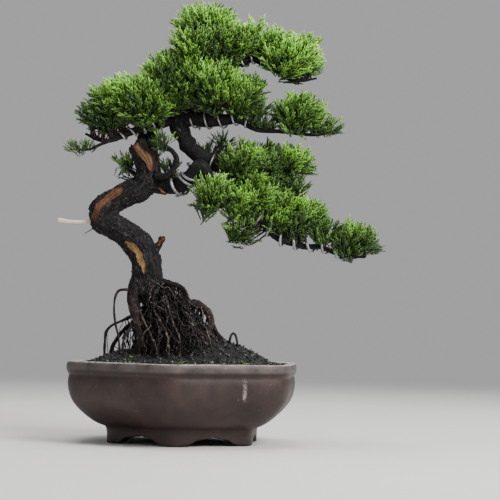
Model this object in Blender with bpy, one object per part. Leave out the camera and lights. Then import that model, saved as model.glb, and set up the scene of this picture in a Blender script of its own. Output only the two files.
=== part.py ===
"""Juniper bonsai with exposed roots in a six-sided clay pot.

Metres, +Z up, the front of the tree towards -Y. The tree is drawn as routes: lists of points
(x, y, z, radius) in millimetres, measured from the centre of the pot's rim for a tree of
DRAWN_HEIGHT, and scaled to TREE_HEIGHT. The finished model is centred on its own footprint.
"""

import math

import bmesh
import bpy
from mathutils import Vector, noise

MM = 0.001

# Driving dimensions
POT_WIDTH = 0.280  # across the rounded corners of the rim
POT_HEIGHT = 0.090
FOOT_WIDTH = 0.182  # across the corners of the foot ring
FOOT_HEIGHT = 0.015
FOOT_WALL = 0.013
POT_WALL = 0.0105
POT_FLOOR = 0.008
ARCH_HEIGHT = 0.0105
ARCH_SHARE = 0.30  # half of an arch over the length of a foot-ring side
HOLE_RADIUS = 0.011
POT_TURN = math.radians(-2.5)
TREE_HEIGHT = 0.413  # from the rim to the tip of the crown
SOIL_DROP = 0.004  # how far the soil's edge lies below the rim
WIRE_RADIUS = 0.0016
FINE_WIRE_RADIUS = 0.0011
SCREEN_THICKNESS = 0.0012
SCREEN_MARGIN = 0.009  # how far the drainage screen reaches past the hole
CLIP_RADIUS = 0.0008
CLIP_SPREAD = 0.62  # the clip's legs over the hole's radius
CLIP_FOOT = 0.005  # how far the clip's feet reach past the hole
CLIP_BEND = 0.001

# Clearances
SEAT_GAP = 0.0004  # between pieces that touch
SOIL_GAP = 0.0006  # between the soil and the pot
TRUNK_GAP = 0.0007  # between the trunk and what grows from it
LEAF_GAP = 0.0008  # between foliage and wood
WIRED_LEAF_GAP = 0.0022  # more, where a wire winds round the wood
PAD_GAP = 0.0016  # between two clouds of foliage

DRAWN_HEIGHT = 0.413
TREE = TREE_HEIGHT / DRAWN_HEIGHT

# Mesh fineness
CORNER_SHARPNESS = 24  # exponent of the rounded hexagon
CIRCLE = 2  # the exponent at which the same curve is a circle
WOOD_VOXEL = 0.0021
WOOD_KEEP = 0.075
PAD_DETAIL = 2
BRANCH_SPACING = 0.008
FINE_SPACING = 0.002

# Trunk, its cut top, and the live line that climbs behind the left branch
TRUNK = [
    (-44, 1, 76, 17), (-44, 0, 100, 17.5), (-47, 0, 116, 16.5), (-53, -1, 129, 16.5),
    (-64, -3, 140, 15.5), (-77, -5, 148, 14.5), (-90, -6, 153, 14), (-97, -5, 161, 14.5),
    (-93, -3, 172, 16), (-82, 0, 181, 14.5), (-69, 2, 188, 14), (-56, 4, 194, 14.5),
    (-47, 6, 204, 15.5), (-45, 6, 216, 14), (-48, 4, 228, 13.5), (-55, 2, 239, 12.5), (-61, 1, 247, 10),
]
LIVE_LINE = [
    (-46, 9, 209, 12.5), (-46, 20, 228, 12), (-50, 30, 250, 11.5), (-47, 32, 269, 11),
    (-36, 27, 280, 11), (-22, 18, 280, 11), (-11, 11, 277, 10),
]
DIAGONAL_BASE = [(-15, 13, 275, 11.5), (-11, 10, 264, 10.5), (-6, 8, 255, 9.5)]
SNAG = [(-38, 0, 122, 6), (-31, -3, 131, 4.5), (-26, -4, 139, 3.2), (-25, -4, 143, 2)]
SPLIT_STUB = [(-42, 2, 197, 6), (-33, -4, 194, 5), (-26, -6, 190, 3.5), (-22, -7, 188, 2.5)]

# Roots that are one growth with the trunk
ROOT_LEFT = [
    (-50, -2, 99, 11), (-58, -8, 79, 8), (-58, -11, 63, 6.8), (-53, -13, 46, 6.6),
    (-48, -15, 29, 6.8), (-46, -17, 12, 7.5), (-46, -18, -6, 7),
]
ROOT_LOOP = [
    (-38, -1, 92, 6.5), (-20, -6, 88, 4.2), (-6, -7, 84, 3.7), (1, -6, 76, 3.6),
    (2, -4, 62, 3.6), (-1, -2, 47, 3.4), (-6, 2, 29, 3), (-8, 2, 4, 3),
]
ROOT_ARCH = [
    (-2, 2, 62, 4.5), (9, 4, 66, 5.6), (20, 3, 61, 5.6), (28, 1, 52, 5.2),
    (29, -3, 41, 4.6), (24, -7, 25, 4), (22, -10, 2, 3.6),
]
ROOT_BACK = [(-42, 8, 94, 9), (-36, 22, 74, 6.5), (-32, 32, 51, 5.5), (-28, 38, 23, 5), (-25, 42, -6, 4.5)]
ROOT_CORE = [(-41, 3, 84, 14), (-37, 5, 68, 12), (-34, 6, 54, 7)]

# The mat of fibrous roots between the thick ones: middle, height, and half-widths across and away
ROOT_MAT = [
    (-17, 8, -4, 33, 32), (-17, 8, 14, 31, 29), (-19, 8, 30, 27, 25), (-24, 7, 46, 22, 20),
    (-28, 6, 62, 18, 16), (-32, 5, 74, 14, 12),
]
MAT_SIDES = 14
MAT_LUMPS = 0.10

# Fine roots, each its own strand
FINE_ROOTS = {
    "root_arc_left": [
        (-58, -10, 79, 1.6), (-73, -13, 79, 1.3), (-78, -14, 71, 1.3), (-79, -15, 57, 1.2),
        (-77, -16, 41, 1.2), (-73, -17, 25, 1.1), (-71, -18, 0, 1.1),
    ],
    "root_outer_left": [
        (-58, -6, 51, 1.9), (-73, -3, 44, 1.7), (-83, -2, 39, 1.7), (-89, -3, 31, 1.6),
        (-90, -4, 16, 1.5), (-90, -5, -4, 1.4),
    ],
    "root_thick_left": [
        (-56, -2, 46, 2.5), (-68, 5, 36, 2.4), (-76, 9, 27, 2.1), (-83, 12, 15, 2), (-88, 14, -4, 1.8),
    ],
    "root_drop_left": [(-57, -14, 41, 1.4), (-65, -21, 29, 1.3), (-67, -25, 17, 1.2), (-65, -28, -3, 1.1)],
    "root_front_left": [
        (-51, -15, 57, 1.3), (-43, -23, 42, 1.2), (-36, -28, 30, 1.2), (-29, -34, 14, 1.2),
        (-25, -40, -4, 1.1),
    ],
    "root_front_pale": [
        (-38, -10, 76, 1.6), (-34, -21, 60, 1.4), (-27, -27, 47, 1.3), (-19, -32, 34, 1.2),
        (-15, -38, 18, 1.2), (-14, -44, -4, 1.1),
    ],
    "root_front_centre": [
        (-24, -6, 80, 1.7), (-18, -20, 62, 1.5), (-12, -27, 44, 1.4), (-4, -33, 28, 1.3), (-2, -40, 8, 1.2),
        (-1, -44, -4, 1.1),
    ],
    "root_creeping": [
        (29, 4, 45, 3), (37, 5, 31, 2.6), (47, 4, 22, 2.5), (59, 3, 16, 2.3), (73, 0, 10, 1.8),
        (88, -2, 0, 1.5),
    ],
}

# Branches, in the order in which they leave the wood before them
BRANCHES = {
    "cascade_branch": [
        (-44, 6, 201, 9), (-32, 4, 198, 9), (-20, 0, 198, 9), (-6, -6, 200, 9), (4, -11, 207, 8.5),
        (11, -15, 217, 8), (18, -16, 218, 7.5), (23, -12, 208, 7), (30, -6, 196, 6.5), (43, -3, 186, 6),
        (60, -6, 178, 5.5), (77, -8, 170, 5.2), (88, -6, 156, 4.6), (101, -2, 142, 4), (118, 2, 136, 3.5),
        (134, 4, 132, 3.2), (151, 4, 132, 2.8), (169, 2, 125, 2.4), (187, 0, 122, 1.9), (202, -2, 121, 1.3),
    ],
    "cascade_side_branch": [
        (40, 0, 187, 4), (52, 8, 189, 3.4), (68, 14, 184, 3), (85, 15, 179, 2.5), (100, 12, 173, 2.3),
        (117, 8, 171, 1.9), (134, 5, 178, 1.4),
    ],
    "diagonal_branch": [
        (-8, 9, 258, 9.5), (1, 9, 243, 9), (14, 9, 233, 8.3), (27, 8, 225, 7), (38, 5, 219, 5.5),
        (49, 2, 215, 4.5), (65, 0, 215, 3.6), (87, 5, 222, 2.8), (113, 9, 226, 1.8),
    ],
    "right_branch": [
        (-14, 11, 277, 9), (-3, 8, 276, 8.5), (10, 5, 275, 8), (25, 3, 274, 8), (38, 1, 274, 7.3),
        (49, -1, 275, 5.5), (59, -3, 273, 3.8), (69, -4, 266, 2.8), (83, -5, 262, 2.5), (109, -6, 261, 2.3),
        (133, -6, 258, 1.9), (149, -8, 258, 1.5), (163, -8, 262, 1.1),
    ],
    "left_branch": [
        (-22, 12, 274, 6.5), (-34, 3, 269, 5.5), (-46, -4, 265, 5), (-57, -9, 261, 4.5), (-75, -12, 253, 3.5),
        (-90, -14, 247, 2.6), (-103, -13, 249, 2), (-116, -11, 255, 1.4),
    ],
    "left_low_twig": [
        (-88, -14, 247, 1.8), (-99, -17, 242, 1.6), (-110, -16, 237, 1.4), (-123, -13, 236, 1.1),
    ],
    "leader": [
        (-13, 12, 279, 9.5), (-4, 12, 290, 8.5), (4, 12, 300, 8), (12, 9, 318, 7), (20, 7, 336, 6),
        (21, 8, 355, 4.5), (17, 9, 373, 3), (15, 8, 392, 1.8),
    ],
    "crown_branch": [
        (20, 7, 334, 4.8), (34, 4, 340, 5), (46, 2, 340, 5.4), (59, 1, 340, 5), (70, -1, 344, 4),
        (82, -2, 339, 3), (95, -4, 332, 2.5), (111, -5, 322, 2.3), (126, -6, 319, 1.8), (144, -6, 322, 1.2),
    ],
    "upper_left_branch": [
        (2, 10, 296, 4.5), (-10, -3, 290, 3.8), (-25, -12, 284, 3), (-43, -18, 278, 2.5), (-65, -20, 280, 2),
        (-90, -17, 286, 1.4),
    ],
    "inner_right_branch": [
        (6, 11, 300, 4), (16, 2, 296, 3.6), (29, -6, 292, 3.2), (44, -11, 291, 2.8), (61, -13, 297, 2),
        (76, -12, 303, 1.4),
    ],
    "back_branch": [
        (2, 14, 296, 5), (-6, 29, 302, 4.5), (-20, 42, 308, 4), (-42, 50, 312, 3), (-64, 54, 315, 1.8),
    ],
    "fork_twig": [
        (-36, -6, 209, 4), (-25, -11, 208, 3.5), (-16, -14, 215, 3.4), (-12, -14, 226, 3),
        (-17, -12, 236, 2.6), (-27, -10, 243, 2),
    ],
}
JIN_STICK = [(-105, -6, 157, 3), (-120, -8, 155, 2.6), (-133, -10, 155, 2.5), (-145, -12, 157, 2.4)]

# Training wires: branch, where they start and end along it and the length of a turn, drawn in
# millimetres, then the starting angle in degrees and the wire's radius
WIRES = {
    "arch_wire": ("cascade_branch", 32, 59, 20, 60, WIRE_RADIUS),
    "arch_wire_double": ("cascade_branch", 33, 67, 20, 172, WIRE_RADIUS),
    "cascade_wire": ("cascade_branch", 131, 275, 17, 100, WIRE_RADIUS),
    "cascade_side_wire": ("cascade_side_branch", 24, 74, 14, 0, FINE_WIRE_RADIUS),
    "diagonal_wire": ("diagonal_branch", 40, 84, 13, 200, FINE_WIRE_RADIUS),
    "right_wire": ("right_branch", 18, 84, 16, 90, FINE_WIRE_RADIUS),
    "left_wire": ("left_branch", 18, 70, 12, 20, FINE_WIRE_RADIUS),
    "crown_wire": ("crown_branch", 16, 66, 12, 60, FINE_WIRE_RADIUS),
}
WIRE_STEPS_PER_TURN = 8
WIRE_SLACK = 0.0006  # between a wire's turns and the bark

# Foliage pads: centre and half-sizes
PADS = {
    "pad_crown_top": ((17, 6, 385), (34, 30, 26)),
    "pad_crown_front": ((5, -18, 358), (26, 20, 18)),
    "pad_crown_middle": ((65, 0, 364), (27, 27, 19)),
    "pad_crown_tip": ((112, -4, 349), (37, 28, 24)),
    "pad_left_tip": ((-98, -14, 281), (33, 27, 21)),
    "pad_left_middle": ((-60, -14, 298), (38, 34, 29)),
    "pad_left_top": ((-20, -6, 320), (41, 36, 34)),
    "pad_left_back": ((-62, 50, 308), (36, 28, 24)),
    "pad_centre": ((28, -6, 318), (34, 34, 30)),
    "pad_centre_right": ((61, -6, 305), (31, 31, 25)),
    "pad_centre_back": ((6, 50, 322), (44, 32, 30)),
    "pad_right_inner": ((88, -5, 272), (20, 14, 10)),
    "pad_right": ((127, -6, 285), (27, 22, 18)),
    "pad_right_tip": ((163, -8, 268), (15, 12, 10)),
    "pad_diagonal": ((66, 0, 229), (27, 26, 22)),
    "pad_diagonal_tip": ((114, 8, 231), (32, 25, 18)),
    "pad_diagonal_back": ((84, 40, 236), (30, 24, 18)),
    "pad_low_left": ((28, -22, 196), (29, 22, 22)),
    "pad_low_middle": ((76, -10, 188), (33, 26, 20)),
    "pad_low_right": ((129, 3, 172), (32, 27, 22)),
    "pad_low_hanging": ((64, -12, 152), (24, 17, 13)),
    "pad_low_tip": ((190, 0, 142), (29, 22, 18)),
    "tuft_left": ((-123, -13, 240), (16, 13, 9)),
    "tuft_behind_stub": ((-76, 16, 228), (16, 13, 13)),
    "tuft_fork": ((-32, -10, 250), (14, 12, 11)),
}
PAD_LUMPS = 0.16  # depth of the lumps over a pad's size
PAD_LUMP_SIZE = 0.034
PAD_FLATTENING = 0.72  # the underside's height over the top's


def clear_scene():
    for old in list(bpy.data.objects):
        bpy.data.objects.remove(old, do_unlink=True)


def material(name, colour, roughness, metallic=0.0):
    made = bpy.data.materials.new(name)
    made.use_nodes = True
    shader = made.node_tree.nodes["Principled BSDF"]
    shader.inputs["Base Color"].default_value = (*colour, 1)
    shader.inputs["Roughness"].default_value = roughness
    shader.inputs["Metallic"].default_value = metallic
    return made


def add_object(name, mesh, finish=None, smooth=False):
    made = bpy.data.objects.new(name, mesh)
    bpy.context.scene.collection.objects.link(made)
    if finish:
        mesh.materials.append(finish)
    if smooth:
        mesh.shade_smooth()
        mesh.set_sharp_from_angle(angle=math.radians(50))
    return made


def mesh_from(name, build):
    """A mesh from a bmesh that build() filled, with its normals outwards."""
    shape = bmesh.new()
    build(shape)
    bmesh.ops.remove_doubles(shape, verts=shape.verts, dist=1e-6)
    bmesh.ops.recalc_face_normals(shape, faces=shape.faces)
    mesh = bpy.data.meshes.new(name)
    shape.to_mesh(mesh)
    shape.free()
    return mesh


def evaluated_mesh(obj):
    bpy.context.view_layer.update()
    graph = bpy.context.evaluated_depsgraph_get()
    return bpy.data.meshes.new_from_object(obj.evaluated_get(graph), depsgraph=graph)


def settle(obj):
    """Applies every modifier of an object."""
    mesh = evaluated_mesh(obj)
    obj.modifiers.clear()
    obj.data = mesh
    return obj


def discard(*helpers):
    for helper in helpers:
        bpy.data.objects.remove(helper, do_unlink=True)


def cut(obj, cutter, solver="EXACT"):
    """Takes the cutter's space out of the object."""
    boolean = obj.modifiers.new("cut", "BOOLEAN")
    boolean.operation = "DIFFERENCE"
    boolean.solver = solver
    boolean.object = cutter
    return settle(obj)


def keep_largest(obj):
    """Leaves the largest loose body of a trimmed piece, so that a sliver beyond a cut is no second body."""
    shape = bmesh.new()
    shape.from_mesh(obj.data)
    left = set(shape.faces)
    bodies = []
    while left:
        stack = [left.pop()]
        body = set(stack)
        while stack:
            for edge in stack.pop().edges:
                fresh = [face for face in edge.link_faces if face in left]
                left.difference_update(fresh)
                body.update(fresh)
                stack += fresh
        bodies.append(body)
    biggest = max(bodies, key=len)
    bmesh.ops.delete(shape, geom=[face for face in shape.faces if face not in biggest], context="FACES")
    shape.to_mesh(obj.data)
    shape.free()
    return obj


def grown(obj, by):
    """A copy of an object with its surface moved outwards."""
    copy = add_object(obj.name + "_cutter", obj.data.copy())
    for vert in copy.data.vertices:
        vert.co += vert.normal * by
    return copy


# ---------------------------------------------------------------- routes and tubes


def to_model(point):
    """A drawn point in millimetres from the rim's centre, as a place in the model."""
    x, y, z = (value * MM * TREE for value in point)
    return Vector((x, y, z + POT_HEIGHT))


def stations(route):
    return [(to_model(point[:3]), point[3] * MM * TREE) for point in route]


def along(knots, position):
    """The place and radius at a position counted in points, on a smooth curve through all of them."""
    index = min(int(position), len(knots) - 2)
    share = position - index
    around = [knots[min(max(index + step, 0), len(knots) - 1)] for step in (-1, 0, 1, 2)]

    def blend(values):
        a, b, c, d = values
        cubic = b * 1.5 - c * 1.5 + (d - a) * 0.5
        square = a - b * 2.5 + c * 2 - d * 0.5
        return b + ((c - a) * 0.5 + (square + cubic * share) * share) * share

    return blend([knot[0] for knot in around]), blend([knot[1] for knot in around])


def smooth_stations(route, spacing):
    """Stations along the smooth curve of a route, about one each spacing."""
    knots = stations(route)
    found = []
    for index in range(len(knots) - 1):
        length = (knots[index + 1][0] - knots[index][0]).length
        steps = max(1, round(length / spacing))
        found += [along(knots, index + step / steps) for step in range(steps)]
    return found + [knots[-1]]


def tube(name, places, sides, grow=0.0, finish=None):
    """A closed tube through stations of place and radius, as a mesh object."""
    curve = bpy.data.curves.new(name, "CURVE")
    curve.dimensions = "3D"
    curve.bevel_depth = 1.0
    curve.bevel_resolution = (sides - 4) // 2
    curve.use_fill_caps = True
    spline = curve.splines.new("POLY")
    spline.points.add(len(places) - 1)
    for point, (place, radius) in zip(spline.points, places):
        point.co = (*place, 1)
        point.radius = radius + grow
    guide = add_object(name + "_guide", curve)
    swept = evaluated_mesh(guide)
    discard(guide)
    mesh = mesh_from(name, lambda shape: shape.from_mesh(swept))
    return add_object(name, mesh, finish, smooth=True)


# ---------------------------------------------------------------- pot


def rounded_hexagon(half_flats, sharpness, z):
    """A ring of points: six nearly flat sides at this sharpness, and a circle at 2."""
    ring = []
    for side in range(6):
        for degrees in (0, 6, 22, 38, 54):
            angle = math.radians(60 * side + degrees)
            total = 0.0
            for facing in range(6):
                reach = math.cos(angle - math.radians(60 * facing + 30))
                total += max(0.0, reach) ** sharpness
            scale = total ** (-1 / sharpness)
            if sharpness == CIRCLE:
                scale *= math.sqrt(1.5)
            turned = angle + POT_TURN - math.pi / 2
            ring.append((math.cos(turned) * half_flats * scale, math.sin(turned) * half_flats * scale, z))
    return ring


def half_flats(width):
    """Half the distance across the flats of a rounded hexagon of this width across its corners."""
    corner = 2 ** (-1 / CORNER_SHARPNESS) / math.cos(math.pi / 6)
    return width / 2 / corner


def bridge_rings(shape, rings, closed):
    loops = [[shape.verts.new(point) for point in ring] for ring in rings]
    pairs = list(zip(loops, loops[1:]))
    if closed:
        pairs.append((loops[-1], loops[0]))
    for low, high in pairs:
        for index in range(len(low)):
            after = (index + 1) % len(low)
            shape.faces.new((low[index], low[after], high[after], high[index]))
    if not closed:
        shape.faces.new(loops[0])
        shape.faces.new(loops[-1])


# The body's bulge, as shares of the way out from the foot to the rim and up from the foot's top
BODY_OUTSIDE = [
    (0.0, 0.0), (0.05, 0.05), (0.30, 0.10), (0.57, 0.23), (0.80, 0.37), (0.91, 0.48), (0.955, 0.61),
    (0.965, 0.72), (0.935, 0.805),
]
BODY_INSIDE = [(0.91, 0.70), (0.86, 0.48), (0.62, 0.27), (0.30, 0.11), (0.0, 0.0)]
# The rim's band, in metres in from its widest and down from its top
RIM_OUTSIDE = [(0.0005, 0.0105), (0.0, 0.008), (0.0, 0.003), (0.0018, 0.0002), (0.006, 0.0)]
RIM_INSIDE = [(0.0, 0.0008), (0.0018, 0.004)]
FOOT_TAPER = 0.004  # how much narrower the hollow in the foot is at its top


def outer_profile():
    """Half-flats and height up the outside of the pot, from the foot's bottom to the rim's crown."""
    rim = half_flats(POT_WIDTH)
    foot = half_flats(FOOT_WIDTH)
    body = POT_HEIGHT - FOOT_HEIGHT
    rows = [(foot, 0.0)]
    rows += [(foot + (rim - foot) * out, FOOT_HEIGHT + body * up) for out, up in BODY_OUTSIDE]
    rows += [(rim - inwards, POT_HEIGHT - down) for inwards, down in RIM_OUTSIDE]
    return rows


def inner_profile():
    """Half-flats and height down the inside of the pot, from the rim to the floor."""
    rim = half_flats(POT_WIDTH)
    floor = FOOT_HEIGHT + POT_FLOOR
    depth = POT_HEIGHT - floor
    foot = half_flats(FOOT_WIDTH)
    rows = [(rim - POT_WALL - inwards, POT_HEIGHT - down) for inwards, down in RIM_INSIDE]
    rows += [(foot + (rim - foot) * out - POT_WALL, floor + depth * up) for out, up in BODY_INSIDE]
    return rows


def make_pot(finish):
    inside = inner_profile()
    floor = inside[-1][1]
    foot_inner = half_flats(FOOT_WIDTH) - FOOT_WALL
    rings = [rounded_hexagon(flats, CORNER_SHARPNESS, z) for flats, z in outer_profile()]
    rings += [rounded_hexagon(flats, CORNER_SHARPNESS, z) for flats, z in inside]
    rings.append(rounded_hexagon(HOLE_RADIUS, CIRCLE, floor))
    rings.append(rounded_hexagon(HOLE_RADIUS, CIRCLE, ARCH_HEIGHT))
    rings.append(rounded_hexagon(foot_inner - FOOT_TAPER, CORNER_SHARPNESS, ARCH_HEIGHT))
    rings.append(rounded_hexagon(foot_inner, CORNER_SHARPNESS, 0.0))
    mesh = mesh_from("pot", lambda shape: bridge_rings(shape, rings, closed=True))
    pot = add_object("pot", mesh, finish, smooth=True)
    for facing in range(3):
        cutter = make_arch_cutter(facing)
        cut(pot, cutter)
        discard(cutter)
    pot.data.set_sharp_from_angle(angle=math.radians(35))
    return pot


# An arch's ogee from its foot to its middle, as shares of its half-width and height
ARCH_OUTLINE = [
    (1.32, -0.2), (1.32, 0.0), (1.06, 0.16), (0.86, 0.42), (0.72, 0.66), (0.55, 0.74), (0.36, 0.80),
    (0.16, 0.95), (0.0, 1.0),
]
ARCH_REACH = 0.62  # half of a cutter's length over the foot's width, so that it passes both sides


def make_arch_cutter(facing):
    """A bar with an ogee outline that cuts the arches in two opposite sides of the foot ring."""
    half = FOOT_WIDTH / 2 * ARCH_SHARE
    points = [(share * half, up * ARCH_HEIGHT) for share, up in ARCH_OUTLINE]
    points += [(-across, z) for across, z in reversed(points[:-1])]
    reach = FOOT_WIDTH * ARCH_REACH
    turn = math.radians(60 * facing + 30) + POT_TURN - math.pi / 2
    outwards = Vector((math.cos(turn), math.sin(turn), 0))
    sideways = Vector((-math.sin(turn), math.cos(turn), 0))

    def build(shape):
        rings = []
        for end in (-reach, reach):
            rings.append([outwards * end + sideways * across + Vector((0, 0, z)) for across, z in points])
        bridge_rings(shape, rings, closed=False)

    cutter = add_object("arch_cutter", mesh_from("arch_cutter", build))
    cutter.hide_render = True
    cutter.display_type = "WIRE"
    return cutter


# ---------------------------------------------------------------- soil and drainage

# Mounds: centre, height and spread, drawn in millimetres like the tree
MOUNDS = [
    ((-15, 8), 20, (60, 46)), ((22, 6), 18, (26, 30)), ((60, 4), 11, (26, 34)), ((-72, 2), 8, (22, 30)),
]
SOIL_SHARES = (0.92, 0.78, 0.64, 0.50, 0.36, 0.22, 0.10, 0.02)  # rings of the soil's surface over its edge
LEAST_WALL_DEPTH = 0.003  # between the soil's edge and the next ring below it


def soil_height(x, y):
    """The soil's surface at a place, before the rim holds it down."""
    height = POT_HEIGHT - SOIL_DROP
    for (mx, my), up, (wide, deep) in MOUNDS:
        across = (x / (MM * TREE) - mx) / wide
        away = (y / (MM * TREE) - my) / deep
        height += up * MM * TREE * math.exp(-across * across - away * away)
    return height


def make_soil(finish, clip_top):
    """Fills the pot with a gap to its wall, over the drainage screen, and mounded under the roots."""
    inside = inner_profile()
    edge = POT_HEIGHT - SOIL_DROP
    hollow = HOLE_RADIUS + SCREEN_MARGIN + SEAT_GAP + SOIL_GAP
    rings = [rounded_hexagon(hollow, CIRCLE, clip_top + SOIL_GAP)]
    rings.append(rounded_hexagon(hollow, CIRCLE, inside[-1][1] + SOIL_GAP))
    rows = [row for row in reversed(inside) if row[1] < edge - LEAST_WALL_DEPTH]
    for flats, z in rows:
        rings.append(rounded_hexagon(flats - SOIL_GAP, CORNER_SHARPNESS, z + SOIL_GAP))
    rim = inside[1][0] - SOIL_GAP
    rings.append(rounded_hexagon(rim, CORNER_SHARPNESS, edge))
    for share in SOIL_SHARES:
        sharpness = CIRCLE + (CORNER_SHARPNESS - CIRCLE) * share**2
        ring = rounded_hexagon(rim * share, sharpness, edge)
        rings.append([(x, y, soil_height(x, y)) for x, y, _ in ring])
    mesh = mesh_from("soil", lambda shape: bridge_rings(shape, rings, closed=False))
    return add_object("soil", mesh, finish, smooth=True)


def make_drainage(plastic, metal):
    """A round screen over the drainage hole, and the wire clip that holds it from below.

    Returns both, with the height of the clip's top.
    """
    reach = HOLE_RADIUS + SCREEN_MARGIN
    low = inner_profile()[-1][1] + SEAT_GAP
    leg = HOLE_RADIUS * CLIP_SPREAD

    def build(shape):
        rings = [rounded_hexagon(reach, CIRCLE, low), rounded_hexagon(reach, CIRCLE, low + SCREEN_THICKNESS)]
        bridge_rings(shape, rings, closed=False)

    screen = add_object("drain_screen", mesh_from("drain_screen", build), plastic)
    over = low + SCREEN_THICKNESS + SEAT_GAP + CLIP_RADIUS
    under = ARCH_HEIGHT - SEAT_GAP - CLIP_RADIUS
    foot = HOLE_RADIUS + CLIP_FOOT
    half = [(foot, under), (leg + CLIP_BEND, under), (leg, under + CLIP_BEND), (leg, over - CLIP_BEND)]
    half.append((leg - CLIP_BEND, over))
    corners = [(-x, z) for x, z in half] + half[::-1]
    places = [(Vector((x, 0, z)), CLIP_RADIUS) for x, z in corners]
    clip = tube("drain_clip", places, 8, finish=metal)
    cutter = tube("clip_cutter", places, 8, grow=SEAT_GAP)
    cut(screen, cutter)
    discard(cutter)
    return screen, clip, over + CLIP_RADIUS


# ---------------------------------------------------------------- wood


def make_trunk(finish):
    """The trunk, its stub, the live line and the thick roots as one growth."""
    routes = [TRUNK, LIVE_LINE, DIAGONAL_BASE, SNAG, SPLIT_STUB]
    routes += [ROOT_LEFT, ROOT_LOOP, ROOT_ARCH, ROOT_BACK, ROOT_CORE]
    limbs = [tube("limb", smooth_stations(route, 0.005), 16) for route in routes]

    def build(shape):
        for limb in limbs:
            shape.from_mesh(limb.data)

    trunk = add_object("trunk", mesh_from("trunk", build))
    discard(*limbs)
    remesh = trunk.modifiers.new("merge", "REMESH")
    remesh.mode = "VOXEL"
    remesh.voxel_size = WOOD_VOXEL
    thin = trunk.modifiers.new("thin", "DECIMATE")
    thin.ratio = WOOD_KEEP
    settle(trunk)
    trunk.data.materials.clear()
    trunk.data.materials.append(finish)
    trunk.data.shade_smooth()
    return keep_largest(trunk)


def make_root_mat(finish, cutters):
    """The tangle of fibrous roots as one lumpy solid, cut back where other pieces are."""

    def build(shape):
        rings = []
        for x, y, z, wide, deep in ROOT_MAT:
            ring = []
            for side in range(MAT_SIDES):
                angle = 2 * math.pi * side / MAT_SIDES
                spot = Vector((math.cos(angle) * 2, math.sin(angle) * 2, z / 16))
                lump = 1 + MAT_LUMPS * 2 * noise.noise(spot)
                across = x + wide * lump * math.cos(angle)
                away = y + deep * lump * math.sin(angle)
                ring.append(to_model((across, away, z)))
            rings.append(ring)
        bridge_rings(shape, rings, closed=False)

    mat = add_object("root_mat", mesh_from("root_mat", build), finish, smooth=True)
    for cutter in cutters:
        cut(mat, cutter, solver="MANIFOLD")
    return keep_largest(mat)


def make_branch(name, route, wood_before, finish):
    """A branch, cut back where it meets the wood that it grows from."""
    branch = tube(name, smooth_stations(route, BRANCH_SPACING), 8, finish=finish)
    for cutter in wood_before:
        cut(branch, cutter)
    return keep_largest(branch)


def lengths_along(places):
    """The distance from the first station to each one."""
    found = [0.0]
    for before, after in zip(places, places[1:]):
        found.append(found[-1] + (after[0] - before[0]).length)
    return found


def at_length(places, lengths, wanted):
    """The place, radius and direction at a distance along fine stations."""
    index = max(i for i, length in enumerate(lengths[:-1]) if length <= wanted or i == 0)
    low, high = places[index], places[index + 1]
    share = (wanted - lengths[index]) / (lengths[index + 1] - lengths[index])
    return low[0].lerp(high[0], share), low[1] + (high[1] - low[1]) * share, (high[0] - low[0]).normalized()


def wire_lift(radius, wire_radius):
    """The distance from a branch's middle to a wire's middle, so that its straight steps clear the bark."""
    return (radius + wire_radius + WIRE_SLACK) / math.cos(math.pi / WIRE_STEPS_PER_TURN)


def make_wire(name, winding, finish):
    """A wire wound along a branch, just off its surface."""
    branch, first, last, pitch, start, wire_radius = winding
    first, last, pitch = (value * MM * TREE for value in (first, last, pitch))
    fine = smooth_stations(BRANCHES[branch], FINE_SPACING)
    lengths = lengths_along(fine)
    steps = round((last - first) / pitch * WIRE_STEPS_PER_TURN)
    side = Vector((0, 0, 1))
    places = []
    for step in range(steps + 1):
        place, radius, ahead = at_length(fine, lengths, first + (last - first) * step / steps)
        side = (side - ahead * side.dot(ahead)).normalized()
        third = ahead.cross(side)
        angle = math.radians(start) + 2 * math.pi * (last - first) / pitch * step / steps
        lift = wire_lift(radius, wire_radius)
        places.append((place + (side * math.cos(angle) + third * math.sin(angle)) * lift, wire_radius))
    return tube(name, places, 6, finish=finish)


# ---------------------------------------------------------------- foliage


def make_pad(name, centre, half_sizes, finish):
    """A cloud of foliage as a lumpy closed solid, flatter below."""
    middle = to_model(centre)
    reach = [size * MM * TREE for size in half_sizes]
    offset = Vector((len(name) * 0.37, centre[0] * 0.11, centre[2] * 0.07))

    def build(shape):
        bmesh.ops.create_icosphere(shape, subdivisions=PAD_DETAIL, radius=1.0)
        for vert in shape.verts:
            out = vert.co.normalized()
            spot = Vector(out[axis] * reach[axis] for axis in range(3))
            lump = noise.noise(spot / (PAD_LUMP_SIZE * TREE) + offset)
            spot *= 1 + PAD_LUMPS * 2 * lump
            if spot.z < 0:
                spot.z *= PAD_FLATTENING
            vert.co = spot + middle

    return add_object(name, mesh_from(name, build), finish, smooth=True)


# ---------------------------------------------------------------- assembly


def centre_on_footprint(pieces):
    """Hangs every piece on one parent, moved so that the whole stands centred on the origin."""
    corners = [vert.co for piece in pieces for vert in piece.data.vertices]
    low = [min(corner[axis] for corner in corners) for axis in range(3)]
    high = [max(corner[axis] for corner in corners) for axis in range(3)]
    stand = bpy.data.objects.new("bonsai", None)
    bpy.context.scene.collection.objects.link(stand)
    stand.location = (-(low[0] + high[0]) / 2, -(low[1] + high[1]) / 2, -low[2])
    for piece in pieces:
        piece.parent = stand


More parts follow.
